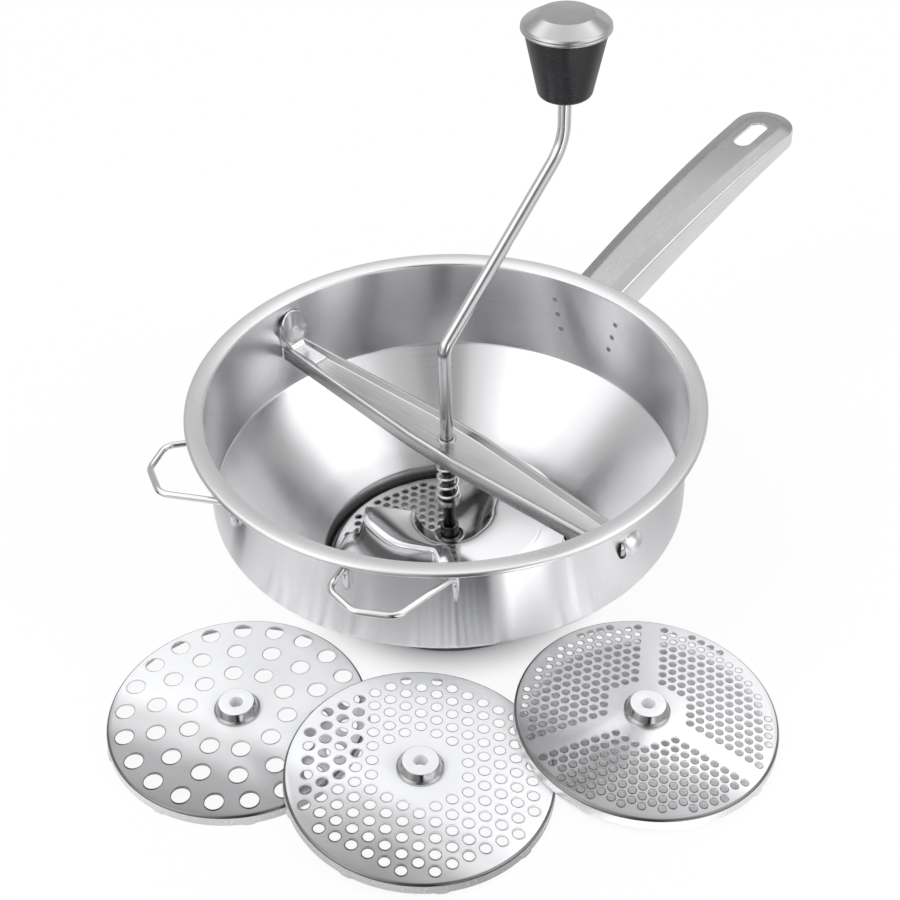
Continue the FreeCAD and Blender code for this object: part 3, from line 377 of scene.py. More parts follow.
def moulded_black(name):
    """Fine-grained black plastic."""
    shader = Shader(name, (0.012, 0.012, 0.014), 0.28, 0.0)
    shader.base["Specular IOR Level"].default_value = 0.55
    grain = shader.noise(2400, 3)
    shader.rough(grain, 0.24, 0.34)
    shader.tint(40, 2, (0.010, 0.010, 0.012), (0.016, 0.016, 0.018))
    shader.bump(grain, 0.00001, 0.4)
    return shader.material


# Painted shade as greys by height, then painted shade and light as greys and metallic shares across a spare
# disc by distance from its middle.
# Painted shade in the pan: dark at the seat lip and neck, growing lighter up the lower cone.
PAN_PAINTED_SHADE = ((0, 0.12), (3.5, 0.2), (6, 0.5), (10, 0.6), (15, 0.7), (24, 0.92), (110, 0.92))
# Painted shade on the rod: dark up to the top of the spring, mid grey up the upright shaft, light from the
# bend on.
ROD_PAINTED_SHADE = ((0, 0.08), (71, 0.08), (79, 0.42), (122, 0.5), (134, 0.85), (250, 0.85))
# Painted shade on the blade: dark from 19 to 26 mm up, over the well's wall and the middle of the wing's
# skirt; the crest, wings and skirt foot stay light.
BLADE_PAINTED_SHADE = ((0, 0.85), (13, 0.8), (19, 0.3), (22, 0.12), (26, 0.12), (28.3, 0.72), (40, 0.72))
# Painted shade and light on the spare discs: dark and metallic at the front left, white and diffuse at the
# back right.
COARSE_PAINTED_LIGHT = {"Base Color": ((-60, 0.26), (-40, 0.34), (-22, 0.65), (-6, 0.96), (60, 1.0)),
                "Metallic": ((-60, 0.85), (-30, 0.7), (-4, 0.12), (60, 0.0))}
MEDIUM_PAINTED_LIGHT = {"Base Color": ((-60, 0.3), (-48, 0.4), (-32, 0.75), (-16, 0.98), (60, 1.0)),
                "Metallic": ((-60, 0.85), (-40, 0.6), (-14, 0.1), (60, 0.0))}
FINE_PAINTED_LIGHT = {"Base Color": ((-60, 0.36), (-35, 0.5), (-12, 0.9), (60, 1.0)),
              "Metallic": ((-60, 0.85), (-12, 0.7), (60, 0.2))}
BAR_AZIMUTH, HANDLE_AZIMUTH = 135.0, 50.5
MATERIALS = {
    "pan": spun_steel("pan_steel", 0.2, grain=0.97, heights=PAN_PAINTED_SHADE),
    "rim": spun_steel("rim_steel", 0.28, light=0.84, grain=0.6),
    "pocket": plated_wire("pocket_shade", 0.3, 0.08),
    "rod": plated_wire("rod_steel", 0.17, heights=ROD_PAINTED_SHADE),
    "dark_hub": plated_wire("shaded_hub", 0.25, 0.12),
    "tab": brushed_steel("tab_steel", 0.22, BAR_AZIMUTH, 0.85),
    "weld": plated_wire("weld_steel", 0.3, 0.45),
    "disc": spun_steel("disc_steel", 0.2, sweep=COARSE_PAINTED_LIGHT),
    "disc_medium": spun_steel("medium_disc_steel", 0.2, sweep=MEDIUM_PAINTED_LIGHT),
    "disc_fine": spun_steel("fine_disc_steel", 0.18, sweep=FINE_PAINTED_LIGHT),
    # Painted shade: the rolled edge is a dark copy of the disc steel.
    "disc_edge": plated_wire("disc_edge_painted_shade", 0.15, 0.25),
    "disc_skirt": plated_wire("disc_skirt_steel", 0.2, 0.9, satin=0.45),
    # Painted shade: the boss's sides are a darker copy of the disc steel.
    "boss_side": plated_wire("boss_side_painted_shade", 0.12, 0.45),
    "disc_used": spun_steel("seated_disc_steel", 0.2),
    # Lit and shaded copies of the handle's steel: painted shade on the top, painted light on its steep sides.
    "handle": brushed_steel("handle_steel", 0.30, HANDLE_AZIMUTH, 0.47),
    "handle_side": brushed_steel("handle_side_painted_light", 0.25, HANDLE_AZIMUTH, 0.96),
    # Lit and shaded copies of the bar's steel: faces turned to the front left get painted shade.
    "bar": brushed_steel("bar_steel", 0.22, BAR_AZIMUTH, 0.66),
    "bar_side": brushed_steel("bar_front_faces_painted_shade", 0.24, BAR_AZIMUTH, 0.42),
    "wire": plated_wire("bright_wire", 0.08),
    "spring": plated_wire("spring_steel", 0.2, 0.85),
    "blade": spun_steel("blade_steel", 0.12, grain=0.2, heights=BLADE_PAINTED_SHADE),
    "hub": plated_wire("turned_hub", 0.14, 0.72),
    "cap": satin_cap("cap_steel"),
    "black": moulded_black("knob_black"),
    "bush": plated_wire("bushing_steel", 0.2, 0.6),
}
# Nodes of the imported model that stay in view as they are.
KEPT_NODES = {"spring_upper_washer": "bush", "spring_lower_washer": "bush", "spring_stop_pin": "hub",
              "knob_bushing": "bush", "knob_retainer": "bush"}


def dress_kept_nodes():
    """Give the nodes that stay in view their finish."""
    for name, finish in KEPT_NODES.items():
        for slot in frame["nodes"][name].material_slots:
            slot.material = MATERIALS[finish]


# ---------- mesh helpers
EASE_REACH, EASE_STEPS = 7.0, 6
MERGE_DISTANCE = 1e-7  # metres
CUT_SHARP = 45  # angle at which the shading of sheet edges breaks


def polar(radius, degrees, height=0.0):
    angle = math.radians(degrees)
    return Vector((radius * math.cos(angle), radius * math.sin(angle), height))


def between(keys, place):
    """Value at a place, straight between the two nearest (place, value) keys."""
    for (start, low), (end, high) in zip(keys, keys[1:]):
        if place <= end:
            return low + (high - low) * max(0.0, (place - start) / (end - start))
    return keys[-1][1]


def eased(keys, place):
    """The same, with its corners rounded by a weighted mean over a short stretch."""
    weights = {k: EASE_STEPS + 1 - abs(k) for k in range(-EASE_STEPS, EASE_STEPS + 1)}
    total = sum(between(keys, place + EASE_REACH * k / EASE_STEPS) * weight for k, weight in weights.items())
    return total / sum(weights.values())


def shade(piece, sharp):
    """Shade smooth except where faces meet at more than an angle."""
    piece.data.shade_smooth()
    piece.data.set_sharp_from_angle(angle=math.radians(sharp))


def make_mesh(name, points, faces, sharp=60):
    """Object from points in millimetres."""
    mesh = bpy.data.meshes.new(name)
    mesh.from_pydata([Vector(p) * MM for p in points], [], faces)
    mesh.validate()
    piece = bpy.data.objects.new(name, mesh)
    shade(piece, sharp)
    bpy.context.scene.collection.objects.link(piece)
    return piece


def apply_modifiers(piece):
    """Turn the modifiers of a sheet piece into its mesh, and shade it."""
    seen = piece.evaluated_get(bpy.context.evaluated_depsgraph_get())
    mesh = bpy.data.meshes.new_from_object(seen)
    piece.modifiers.clear()
    piece.data = mesh
    shade(piece, CUT_SHARP)


def close_mesh(piece, sharp):
    """Merge points that coincide, turn all faces outward and shade again."""
    edit = bmesh.new()
    edit.from_mesh(piece.data)
    bmesh.ops.remove_doubles(edit, verts=edit.verts, dist=MERGE_DISTANCE)
    bmesh.ops.recalc_face_normals(edit, faces=edit.faces)
    edit.to_mesh(piece.data)
    edit.free()
    shade(piece, sharp)
    return piece


def grid_faces(rows, columns, close_rows=False, close_columns=False, start=0):
    """Quads over points listed row by row, from a start."""
    faces = []
    for i in range(rows if close_rows else rows - 1):
        row, following = start + i * columns, start + (i + 1) % rows * columns
        for j in range(columns if close_columns else columns - 1):
            k = (j + 1) % columns
            faces.append((row + j, row + k, following + k, following + j))
    return faces


def corner_arc(before, spot, after, radius, steps):
    """Points of the arc that rounds a corner."""
    before, after = (before - spot).normalized(), (after - spot).normalized()
    half = before.angle(after) / 2
    centre = spot + (before + after).normalized() * (radius / math.sin(half))
    reach = radius / math.tan(half)
    enter, leave = spot + before * reach - centre, spot + after * reach - centre
    return [centre + enter.slerp(leave, k / steps) * radius for k in range(steps + 1)]


def rounded(points, steps):
    """Outline points; a point (x, y, radius) becomes an arc."""
    out = []
    for i, point in enumerate(points):
        before, spot, after = (Vector(points[k % len(points)][:2]) for k in (i - 1, i, i + 1))
        out += corner_arc(before, spot, after, point[2], steps) if len(point) == 3 else [spot]
    return out


def lathe(name, profile, segments, centre=(0, 0, 0), sharp=40, closed=True):
    """Turn an outline of (radius, height) about an upright axis."""
    points = [polar(p.x, 360 * k / segments, p.y) + Vector(centre) for k in range(segments) for p in profile]
    faces = grid_faces(segments, len(profile), close_rows=True, close_columns=closed)
    return close_mesh(make_mesh(name, points, faces), sharp)


def thicken(piece, gauge, offset=-1.0, bevel=0.0):
    """Give a sheet its gauge, on the side away from its normals, and soften its cut edges."""
    solid = piece.modifiers.new("gauge", "SOLIDIFY")
    solid.thickness = gauge * MM
    solid.offset = offset
    if bevel:
        soft = piece.modifiers.new("edges", "BEVEL")
        soft.width = bevel * MM
        soft.segments = 3
        soft.limit_method = "ANGLE"
        soft.angle_limit = math.radians(55)
    apply_modifiers(piece)


def bent_path(corners, steps=8):
    """Points along straight runs with arcs; a corner is (point, radius)."""
    spots = [Vector(spot) for spot, _ in corners]
    path = spots[:1]
    for i in range(1, len(spots) - 1):
        path += corner_arc(*spots[i - 1:i + 2], corners[i][1], steps)
    return path + spots[-1:]


def tube(name, path, radius, sides=20):
    """Round bar along a path, closed with slightly domed ends."""
    dome = ((1.0, 0.0), (0.7, 0.22), (0.0, 0.35))
    count = len(path)
    along = [(path[min(i + 1, count - 1)] - path[max(i - 1, 0)]).normalized() for i in range(count)]
    aside = along[0].orthogonal().normalized()
    rings = []
    for i, point in enumerate(path):
        if i:
            aside = along[i - 1].rotation_difference(along[i]) @ aside
        across = along[i].cross(aside)
        steps = dome[:1]
        if i == 0:
            steps = [(scale, -shift) for scale, shift in reversed(dome)]
        if i == count - 1:
            steps = dome
        for scale, shift in steps:
            ring = []
            for k in range(sides):
                angle = 2 * math.pi * k / sides
                outward = aside * math.cos(angle) + across * math.sin(angle)
                ring.append(point + along[i] * (shift * radius) + outward * (radius * scale))
            rings.append(ring)
    points = [p for ring in rings for p in ring]
    return close_mesh(make_mesh(name, points, grid_faces(len(rings), sides, close_columns=True)), 60)


def finish_piece(piece, node, *finishes):
    """Dress a piece, let it stand for its CAD node and ride on that node's body."""
    piece.data.materials.clear()
    for finish in finishes:
        piece.data.materials.append(MATERIALS[finish])
    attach(piece, BODY_OF[node])
    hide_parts(node)


# ---------- pan
WALL_RADIUS, PAN_GAUGE, RIM_REACH = 112.0, 1.0, 120.0
POCKET_HEIGHT, POCKET_DEPTH, POCKET_LEAD = 82.8, 4.6, 4.6
POCKET_SIDE, POCKET_UPRIGHT = 8.0, 5.2  # half width and half height of a pocket's outline
POCKETS = ((-45.5, 0.0), (134.5, 7.0))  # azimuth, and extra height behind the release tab
POCKET_SPAN, POCKET_STEPS = 6, 60  # half of the wall's finely divided stretch, and its steps
LIP_RADIUS, LIP_TOP, NECK_RADIUS, NECK_TOP = 55.5, 1.0, 62.0, 11.5  # of the inside
CONE_TOP, WALL_TOP, RIM_TOP = 54.6, 104.1, 104.95
BEAD_RADIUS, BEAD_MIDDLE, BEAD_TURN = 1.35, 103.6, 255
WALL_ROWS, BEAD_STEPS = 84, 16


def bulge(point, azimuth, rise):
    """Push a point of the inner wall out over a pocket's rounded form, and say whether it moved."""
    turn = turned(azimuth)
    spot = turn.inverted() @ point
    beyond = spot.z - POCKET_HEIGHT
    beyond = min(beyond, 0.0) + max(beyond - rise, 0.0)
    room = 1 - (spot.y / POCKET_SIDE) ** 2 - (beyond / POCKET_UPRIGHT) ** 2
    if spot.x < 0 or room <= 0:
        return point, False
    spot.x += POCKET_DEPTH * room ** 0.75
    return turn @ spot, True


def make_pan():
    """Sheet pan: seat lip, neck, cone, wall, outward flange with a rolled bead, and two pressed pockets."""
    inner = WALL_RADIUS - PAN_GAUGE
    bead = RIM_REACH - BEAD_RADIUS
    line = rounded([(LIP_RADIUS, LIP_TOP), (NECK_RADIUS, LIP_TOP, 1.6), (NECK_RADIUS, NECK_TOP, 2.0),
                    (inner, CONE_TOP, 1.8), (inner, WALL_TOP, 1.3), (bead, RIM_TOP)], 6)
    wall = [i for i, p in enumerate(line) if abs(p.x - inner) < 1e-6]
    low, high = line[wall[0]].y, line[wall[-1]].y
    rows = line[:wall[0] + 1]
    rows += [Vector((inner, low + (high - low) * k / WALL_ROWS)) for k in range(1, WALL_ROWS)]
    rows += line[wall[-1]:]
    for k in range(1, BEAD_STEPS + 1):
        angle = math.radians(90 - BEAD_TURN * k / BEAD_STEPS)
        out, up = BEAD_RADIUS * math.cos(angle), BEAD_RADIUS * math.sin(angle)
        rows.append(Vector((bead + out, BEAD_MIDDLE + up)))
    lead = math.degrees(math.asin(POCKET_LEAD / inner))
    cuts = [middle - lead for middle, _ in POCKETS]
    azimuths = [a for a in range(-90, 270, 2) if all(abs(a - m) > POCKET_SPAN + 0.5 for m, _ in POCKETS)]
    for (middle, _), cut in zip(POCKETS, cuts):
        fine = [middle - POCKET_SPAN + 2 * POCKET_SPAN * k / POCKET_STEPS for k in range(POCKET_STEPS + 1)]
        azimuths += [a for a in fine if abs(a - cut) > 0.12] + [cut, cut + 1e-5]
    azimuths.sort()
    points, pressed = [], []
    for azimuth in azimuths:
        for p in rows:
            point, moved = polar(p.x, azimuth, p.y), False
            for (middle, rise), cut in zip(POCKETS, cuts):
                if abs(azimuth - middle) < POCKET_SPAN + 2 and azimuth > cut and p.y > CONE_TOP:
                    point, moved = bulge(point, middle, rise)
            points.append(point)
            pressed.append(moved)
    faces = []
    for face in grid_faces(len(azimuths), len(rows), close_rows=True):
        torn = azimuths[face[0] // len(rows)] in cuts and (pressed[face[2]] or pressed[face[3]])
        if not torn:
            faces.append(face)
    pan = make_mesh("pan_sheet", points, faces)
    thicken(pan, PAN_GAUGE)
    finish_piece(pan, "pan", "pan", "rim", "pocket")
    # The flange with its bead, and the sides of the right pocket as seen from outside.
    outward = polar(1.0, POCKETS[0][0])
    for face in pan.data.polygons:
        if face.center.z > (WALL_TOP - 0.9) * MM and face.center.xy.length > (inner + 0.4) * MM:
            face.material_index = 1
        elif face.center.dot(outward) > (inner + 0.6) * MM and face.normal.dot(outward) < 0.1:
            face.material_index = 2


# ---------- sieve discs
DISC_RADIUS, DISC_HEIGHT, DISC_GAUGE = 59.0, 5.6, 0.9
DISC_CROWN = 2.0  # rise of the middle above the rim
DISC_FLAT = 56.2  # where the rolled edge begins
DISC_MIDDLE = 10.8  # flat seat of the boss
DISC_SEAT = 1.0  # height of the foot of the disc in the pan
BOSS_RADIUS = 9.6
BOSS_BORE, BOSS_FOOT, BOSS_SHOULDER, BOSS_TOP = 3.05, 6.2, 7.6, 12.55
PLATE_BORE = BOSS_RADIUS - 2.5  # middle hole of the plate, hidden by the boss
LUGS, LUG_HALF, LUG_PROUD = 9, 1.7, 0.6  # count, half width in degrees and reach beyond the skirt


def crown(radius):
    """Height of the dome over the rim: flat under the boss, then falling faster towards the edge."""
    share = max(0.0, radius - DISC_MIDDLE) / (DISC_FLAT - DISC_MIDDLE)
    return DISC_CROWN * (1 - 0.35 * share - 0.65 * share * share)


def crown_normal(x, y):
    radius = math.hypot(x, y)
    slope = (crown(radius - 0.5) - crown(radius + 0.5)) / max(radius, 1.0)
    return Vector((x * slope, y * slope, 1)).normalized()


def hex_holes(spacing, nearest, furthest, clear_rings=0):
    """Triangular lattice round the hub, without its first rings."""
    spots = []
    reach = int(furthest / spacing) + 2
    first, second = polar(spacing, 90), polar(spacing, 150)
    for i in range(-reach, reach + 1):
        for j in range(-reach, reach + 1):
            ring = max(abs(i), abs(j), abs(i + j))
            spot = first * i + second * j
            if ring >= clear_rings and nearest <= spot.length <= furthest:
                spots.append(spot.xy)
    return spots


def sector_holes(spacing, nearest, furthest, azimuth, spoke):
    """Three fans of a triangular lattice between blank spokes."""
    spots = []
    reach = int(furthest / spacing) + 2
    for fan in range(3):
        start = azimuth + 120 * fan
        corner = polar(spoke / math.sin(math.radians(60)), start + 60)
        for i in range(reach):
            for j in range(reach):
                spot = corner + polar(spacing * i, start) + polar(spacing * j, start + 120)
                if nearest <= spot.length <= furthest:
                    spots.append(spot.xy)
    return spots


def ring_holes(rings):
    """Rings of (radius, count, phase)."""
    return [polar(radius, phase + 360 * k / count).xy for radius, count, phase in rings for k in range(count)]


def perforated_plate(name, holes, hole, lip, lip_rise, sides):
    """Domed plate with lipped holes. The dome gives the normals, so reflections run smoothly past holes."""
    circles = [(0, 0, DISC_FLAT, 144), (0, 0, PLATE_BORE, 48)]
    circles += [(x, y, hole / 2 + lip, sides) for x, y in holes]
    flat, edges = [], []
    for x, y, radius, count in circles:
        start = len(flat)
        flat += [(Vector((x, y, 0)) + polar(radius, 360 * k / count)).xy for k in range(count)]
        edges += [(start + k, start + (k + 1) % count) for k in range(count)]
    spots, _, triangles, *_ = delaunay_2d_cdt(flat, edges, [], 1, 1e-5)
    centres = KDTree(len(holes) + 1)
    for i, (x, y) in enumerate(holes + [(0, 0)]):
        centres.insert((x, y, 0), i)
    centres.balance()
    kept = []
    for triangle in triangles:
        middle = (spots[triangle[0]] + spots[triangle[1]] + spots[triangle[2]]) / 3
        _, nearest, distance = centres.find((middle.x, middle.y, 0))
        if distance > (hole / 2 + lip if nearest < len(holes) else PLATE_BORE):
            kept.append(tuple(triangle))
    points = [(p.x, p.y, DISC_HEIGHT + crown(p.length)) for p in spots]
    normals = [crown_normal(p.x, p.y) for p in spots]
    under = len(points)
    points += [(x, y, z - DISC_GAUGE) for x, y, z in points]
    normals += [-n for n in normals]
    faces = kept + [tuple(under + i for i in reversed(t)) for t in kept]
    # From the lip through the hole to the underside: share of the lip, rise, and lean of the normal.
    steps = ((1.0, 0.0, 0.0), (0.55, lip_rise * 0.8, 0.35), (0.2, lip_rise, 0.8), (0.0, lip_rise * 0.3, 1.0),
             (0.0, -DISC_GAUGE * 0.8, 1.0), (0.3, -DISC_GAUGE, 0.4), (1.0, -DISC_GAUGE, 0.0))
    for x, y in holes:
        start = len(points)
        level = DISC_HEIGHT + crown(math.hypot(x, y))
        for share, rise, lean in steps:
            for k in range(sides):
                outward = polar(1, 360 * k / sides)
                upward = Vector((0, 0, -1 if rise <= -DISC_GAUGE else 1))
                points.append(Vector((x, y, level + rise)) + outward * (hole / 2 + lip * share))
                normals.append((upward * (1 - lean) - outward * lean).normalized())
        faces += grid_faces(len(steps), sides, close_columns=True, start=start)
    mesh = bpy.data.meshes.new(name)
    mesh.from_pydata([Vector(p) * MM for p in points], [], faces)
    mesh.shade_smooth()
    mesh.normals_split_custom_set_from_vertices(normals)
    piece = bpy.data.objects.new(name, mesh)
    bpy.context.scene.collection.objects.link(piece)
    return piece


def disc_rim(name):
    """Rolled edge and skirt of a disc with its small lugs."""
    top = DISC_HEIGHT
    section = rounded([(DISC_FLAT, top), (DISC_RADIUS - 0.2, top - 0.3, 1.7), (DISC_RADIUS, 0.35, 0.2),
                       (DISC_RADIUS, 0.0), (DISC_RADIUS - 0.8, 0.0), (DISC_RADIUS - 0.9, top - 1.6, 0.6),
                       (DISC_FLAT, top - DISC_GAUGE)], 6)
    piece = lathe(name, section, 216, sharp=50, closed=False)
    pitch = 360 / LUGS
    for vertex in piece.data.vertices:
        radius = vertex.co.xy.length / MM
        turn = (math.degrees(math.atan2(vertex.co.y, vertex.co.x)) + pitch / 2) % pitch - pitch / 2
        if radius > DISC_RADIUS - 0.1 and vertex.co.z < 2.4 * MM and abs(turn) < LUG_HALF:
            vertex.co.xy *= 1 + LUG_PROUD / radius
    return piece


def make_disc(node, holes, hole, lip, lip_rise, sides, matrix, finish):
    """One sieve disc: perforated plate, rim and turned boss."""
    plate = perforated_plate(f"{node}_plate", holes, hole, lip, lip_rise, sides)
    rim = disc_rim(f"{node}_rim")
    boss = lathe(f"{node}_boss", rounded([
        (BOSS_BORE, BOSS_FOOT), (BOSS_BORE, BOSS_TOP, 0.15), (8.1, BOSS_TOP + 0.1, 0.5), (9.5, 9.4, 0.6),
        (10.35, 8.8, 0.2), (10.35, BOSS_SHOULDER + 0.02), (9.0, BOSS_SHOULDER), (9.0, BOSS_FOOT)], 4),
        72, sharp=35)
    for piece in (plate, rim, boss):
        piece.matrix_world = matrix
    finish_piece(plate, node, finish)
    finish_piece(rim, node, finish, "disc_edge", "disc_skirt")
    finish_piece(boss, f"{node}_hub", "boss_side", "disc")
    # The rolled edge, painted in shade, and the skirt; then the boss's top and bore, leaving its sides
    # painted in shade.
    for face in rim.data.polygons:
        if face.center.z > 2 * MM and face.normal.z > 0.3:
            face.material_index = int(face.normal.z < 0.97)
        elif face.normal.dot(face.center) > 0:
            face.material_index = 2
    for face in boss.data.polygons:
        if face.center.xy.length < (BOSS_BORE + 0.05) * MM or face.normal.z > 0.95:
            face.material_index = 1


def resting(x, y, lean):
    """Place of a spare disc that tips about the table line under its right edge."""
    edge = Vector((DISC_RADIUS + LUG_PROUD, 0, 0)) * MM
    tip = Matrix.Translation(edge) @ turned(lean, "Y") @ Matrix.Translation(-edge)
    return Matrix.Translation((x * MM, y * MM, 0)) @ tip


def make_discs():
    """The disc in the pan and the spare ones: holes, their diameter, lip, the lip's rise and their sides."""
    in_pan = Matrix.Translation((0, 0, DISC_SEAT * MM))
    make_disc("sieve_disc_in_pan", hex_holes(5.4, 18.0, 54.3), 3.0, 0.75, 0.45, 12, in_pan, "disc_used")
    coarse = ring_holes(((23.0, 10, 27.8), (37.2, 14, 19.0), (51.0, 21, 7.1)))
    make_disc("spare_disc_coarse", coarse, 8.4, 0.45, -0.18, 28, resting(*COARSE_DISC), "disc")
    medium = hex_holes(8.0, 18.0, 54.0, clear_rings=3)
    make_disc("spare_disc_medium", medium, 5.0, 0.55, -0.22, 20, resting(*MEDIUM_DISC), "disc_medium")
    fine = sector_holes(5.0, 17.6, 54.6, 82.6, 6.2)
    make_disc("spare_disc_fine", fine, 3.2, 0.5, -0.25, 14, resting(*FINE_DISC), "disc_fine")


# ---------- blade
CRANK_AZIMUTH, ARM_RADIUS = 45.0, 78.3
# The blade from its left wing round the front and right to the back, as (azimuth, value): reach of the crest
# round the well, of the fold beyond it and of the outer edge, and their heights as shares of the rise.
CREST_REACH = ((168, 19.0), (225, 19.3), (255, 20.6), (290, 20.9), (324, 20.6), (350, 22.2), (377, 24.6),
               (393, 30.0), (407, 38.0), (455, 40.0))
CREST_SHARE = ((168, 1.0), (407, 1.0), (422, 0.7), (438, 0.28), (455, 0.0))
FOLD_REACH = ((166, 39.5), (182, 39.3), (198, 34.8), (218, 31.3), (236, 26.6), (256, 24.5), (264, 34.0),
              (270, 40.0), (393, 47.0), (455, 50.0))
FOLD_SHARE = ((168, 1.0), (258, 1.0), (264, 0.85), (270, 0.97), (407, 0.97), (422, 0.8), (438, 0.32),
              (455, 0.0))
OUTER_REACH = ((168, 52.0), (178, 54.5), (190, 57.0), (455, 57.0))
OUTER_SHARE = ((168, 0.0), (258, 0.0), (264, 0.5), (270, 1.0), (410, 1.0), (424, 0.85), (438, 0.35),
               (455, 0.0))
BLADE_START, BLADE_END, BLADE_STEP = 168.5, 455, 1.5
BLADE_SEAT, BLADE_FLOOR, BLADE_CREST, BLADE_FALL = 17.75, 9.1, 30.0, 2.0
BLADE_BORE, BLADE_COLLAR, BLADE_GAUGE = 6.3, 8.5, 1.2


def spline(points, steps):
    """Catmull-Rom curve through points."""
    out = []
    last = len(points) - 1
    for i in range(last):
        a, b, c, d = (points[min(max(k, 0), last)] for k in range(i - 1, i + 3))
        for t in (k / steps for k in range(steps)):
            bend, twist = a * 2 - b * 5 + c * 4 - d, b * 3 - a - c * 3 + d
            out.append((b * 2 + (c - a) * t + bend * t ** 2 + twist * t ** 3) / 2)
    return out + points[-1:]


def blade_line(azimuth):
    """Top line of the blade at one azimuth, from the hub to its outer edge."""
    rise = BLADE_CREST - BLADE_FLOOR
    crest = Vector((eased(CREST_REACH, azimuth), BLADE_FLOOR + rise * eased(CREST_SHARE, azimuth)))
    fold = Vector((eased(FOLD_REACH, azimuth), BLADE_FLOOR + rise * eased(FOLD_SHARE, azimuth)))
    fold.x = max(fold.x, crest.x + 1.5)
    outer_rise = (rise - BLADE_FALL) * eased(OUTER_SHARE, azimuth)
    outer = Vector((eased(OUTER_REACH, azimuth), BLADE_FLOOR + outer_rise))
    foot = Vector(((BLADE_COLLAR + crest.x) / 2, BLADE_SEAT))
    run = outer - fold
    line = [Vector((BLADE_BORE, BLADE_SEAT)), Vector((BLADE_COLLAR, BLADE_SEAT)),
            foot + Vector((0, (crest.y - BLADE_SEAT) * 0.2)), crest + (foot - crest) * 0.12,
            crest + Vector((0.9, 0.0)), fold, fold + Vector((run.x * 0.08, run.y * 0.14)),
            fold + Vector((run.x * 0.42, run.y * 0.72)), outer]
    return spline(line, 5)


def make_blade():
    """Pressed plate with a low wing, a high wing and a well round the shaft."""
    azimuths = [BLADE_START + BLADE_STEP * i for i in range(int((BLADE_END - BLADE_START) / BLADE_STEP) + 1)]
    lines = [[polar(p.x, azimuth, p.y) for p in blade_line(azimuth)] for azimuth in azimuths]
    points = [p for line in lines for p in line]
    blade = make_mesh("blade_plate", points, grid_faces(len(lines), len(lines[0])))
    blade.data.flip_normals()
    thicken(blade, BLADE_GAUGE, bevel=0.3)
    finish_piece(blade, "pressing_blade", "blade")


def make_blade_hub():
    """Sleeve that ties the blade to the shaft, with its cross pin."""
    low, flange, seat, top = 13.95, 16.5, 18.4, 25.9
    sleeve = lathe("blade_sleeve", rounded([
        (SHAFT_HOLE, low), (9.0, low, 0.3), (9.0, flange, 0.3), (6.1, flange), (6.1, seat, 0.5),
        (4.5, seat + 1.0, 0.6), (4.5, top, 0.6), (SHAFT_HOLE, top)], 5), 64)
    finish_piece(sleeve, "blade_hub", "dark_hub")
    across = polar(4.9, CRANK_AZIMUTH)
    level = Vector((0, 0, top - 3.0))
    pin = tube("blade_pin", [level - across, level, level + across], 1.0)
    finish_piece(pin, "blade_hub_pin", "dark_hub")


# ---------- rod, spring and knob
ROD_RADIUS, SHAFT_HOLE, KNOB_HOLE = 3.0, 3.05, 5.05


def make_rod():
    """Round bar bent into shaft, arm and knob spindle."""
    corners = [(polar(0, 0, 9.3), 0), (polar(0, 0, 131.0), 9), (polar(ARM_RADIUS, CRANK_AZIMUTH, 203.0), 24),
               (polar(ARM_RADIUS, CRANK_AZIMUTH, 253.6), 0)]
    finish_piece(tube("crank_bar", bent_path(corners, 12), ROD_RADIUS, 32), "crank_rod", "rod")


def make_spring():
    """Round spring wire with its end turns laid flat, on a mesh of its own."""
    low, high, turns, wire, radius = 44.8, 75.65, 6.5, 0.8, 4.7
    laid, laid_share, steps = 0.7, 0.035, 28
    shares = ((0.0, 0.0), (laid, laid_share), (turns - laid, 1.0 - laid_share), (turns, 1.0))
    path = []
    for k in range(int(turns * steps) + 1):
        turn = k / steps
        path.append(polar(radius, 360 * turn, low + (high - low) * between(shares, turn)))
    spring = tube("spring_wire", path, wire, 12)
    finish_piece(spring, "pressure_spring", "spring")
    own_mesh(spring)


def make_knob():
    """Tapered plastic grip, hollow for its bushing, and a stamped cap with a turned-under edge."""
    spot = polar(ARM_RADIUS, CRANK_AZIMUTH)
    foot, top, socket = 227.0, 258.0, 252.0
    grip = lathe("knob_grip", rounded([
        (KNOB_HOLE, foot), (11.9, foot, 3.0), (18.45, top - 0.4, 0.6), (17.8, top), (8.5, top), (8.5, socket),
        (KNOB_HOLE, socket)], 7), 96, spot)
    finish_piece(grip, "knob", "black")
    edge, crest = top + 0.05, 265.4
    cap = lathe("knob_crown", rounded([
        (0.0, crest - 0.8), (11.6, crest - 0.8), (17.4, 260.4), (17.4, edge), (19.5, edge, 0.4),
        (20.15, edge + 0.7, 0.5), (19.5, edge + 1.4, 0.2), (19.95, 260.1, 0.4), (19.0, 261.1, 0.5),
        (12.2, crest - 0.2, 0.4), (0.0, crest)], 5), 96, spot, sharp=28)
    finish_piece(cap, "knob_cap", "cap")


# ---------- crossbar and its tab
BAR_TOP, BAR_SKIRT, BAR_GAUGE = 81.0, 7.0, 1.2
BAR_REACH, BAR_MIDDLE, BAR_HALF, BAR_END_HALF = 109.6, 14.0, 12.4, 6.9
BAR_CREST, BAR_FOOT, BAR_RECESS = 2.0, 4.4, 2.0  # inner edge of a ridge's crest, foot of its slope, height
BAR_STEPS = 120
TAB_REACH, TAB_LENGTH, TAB_LEAN, TAB_BEND, TAB_TOP = 110.3, 21.5, 3.0, 3.0, 99.0
TAB_HALF, TAB_FOOT_HALF, TAB_CURL = 7.3, 3.5, 23.0


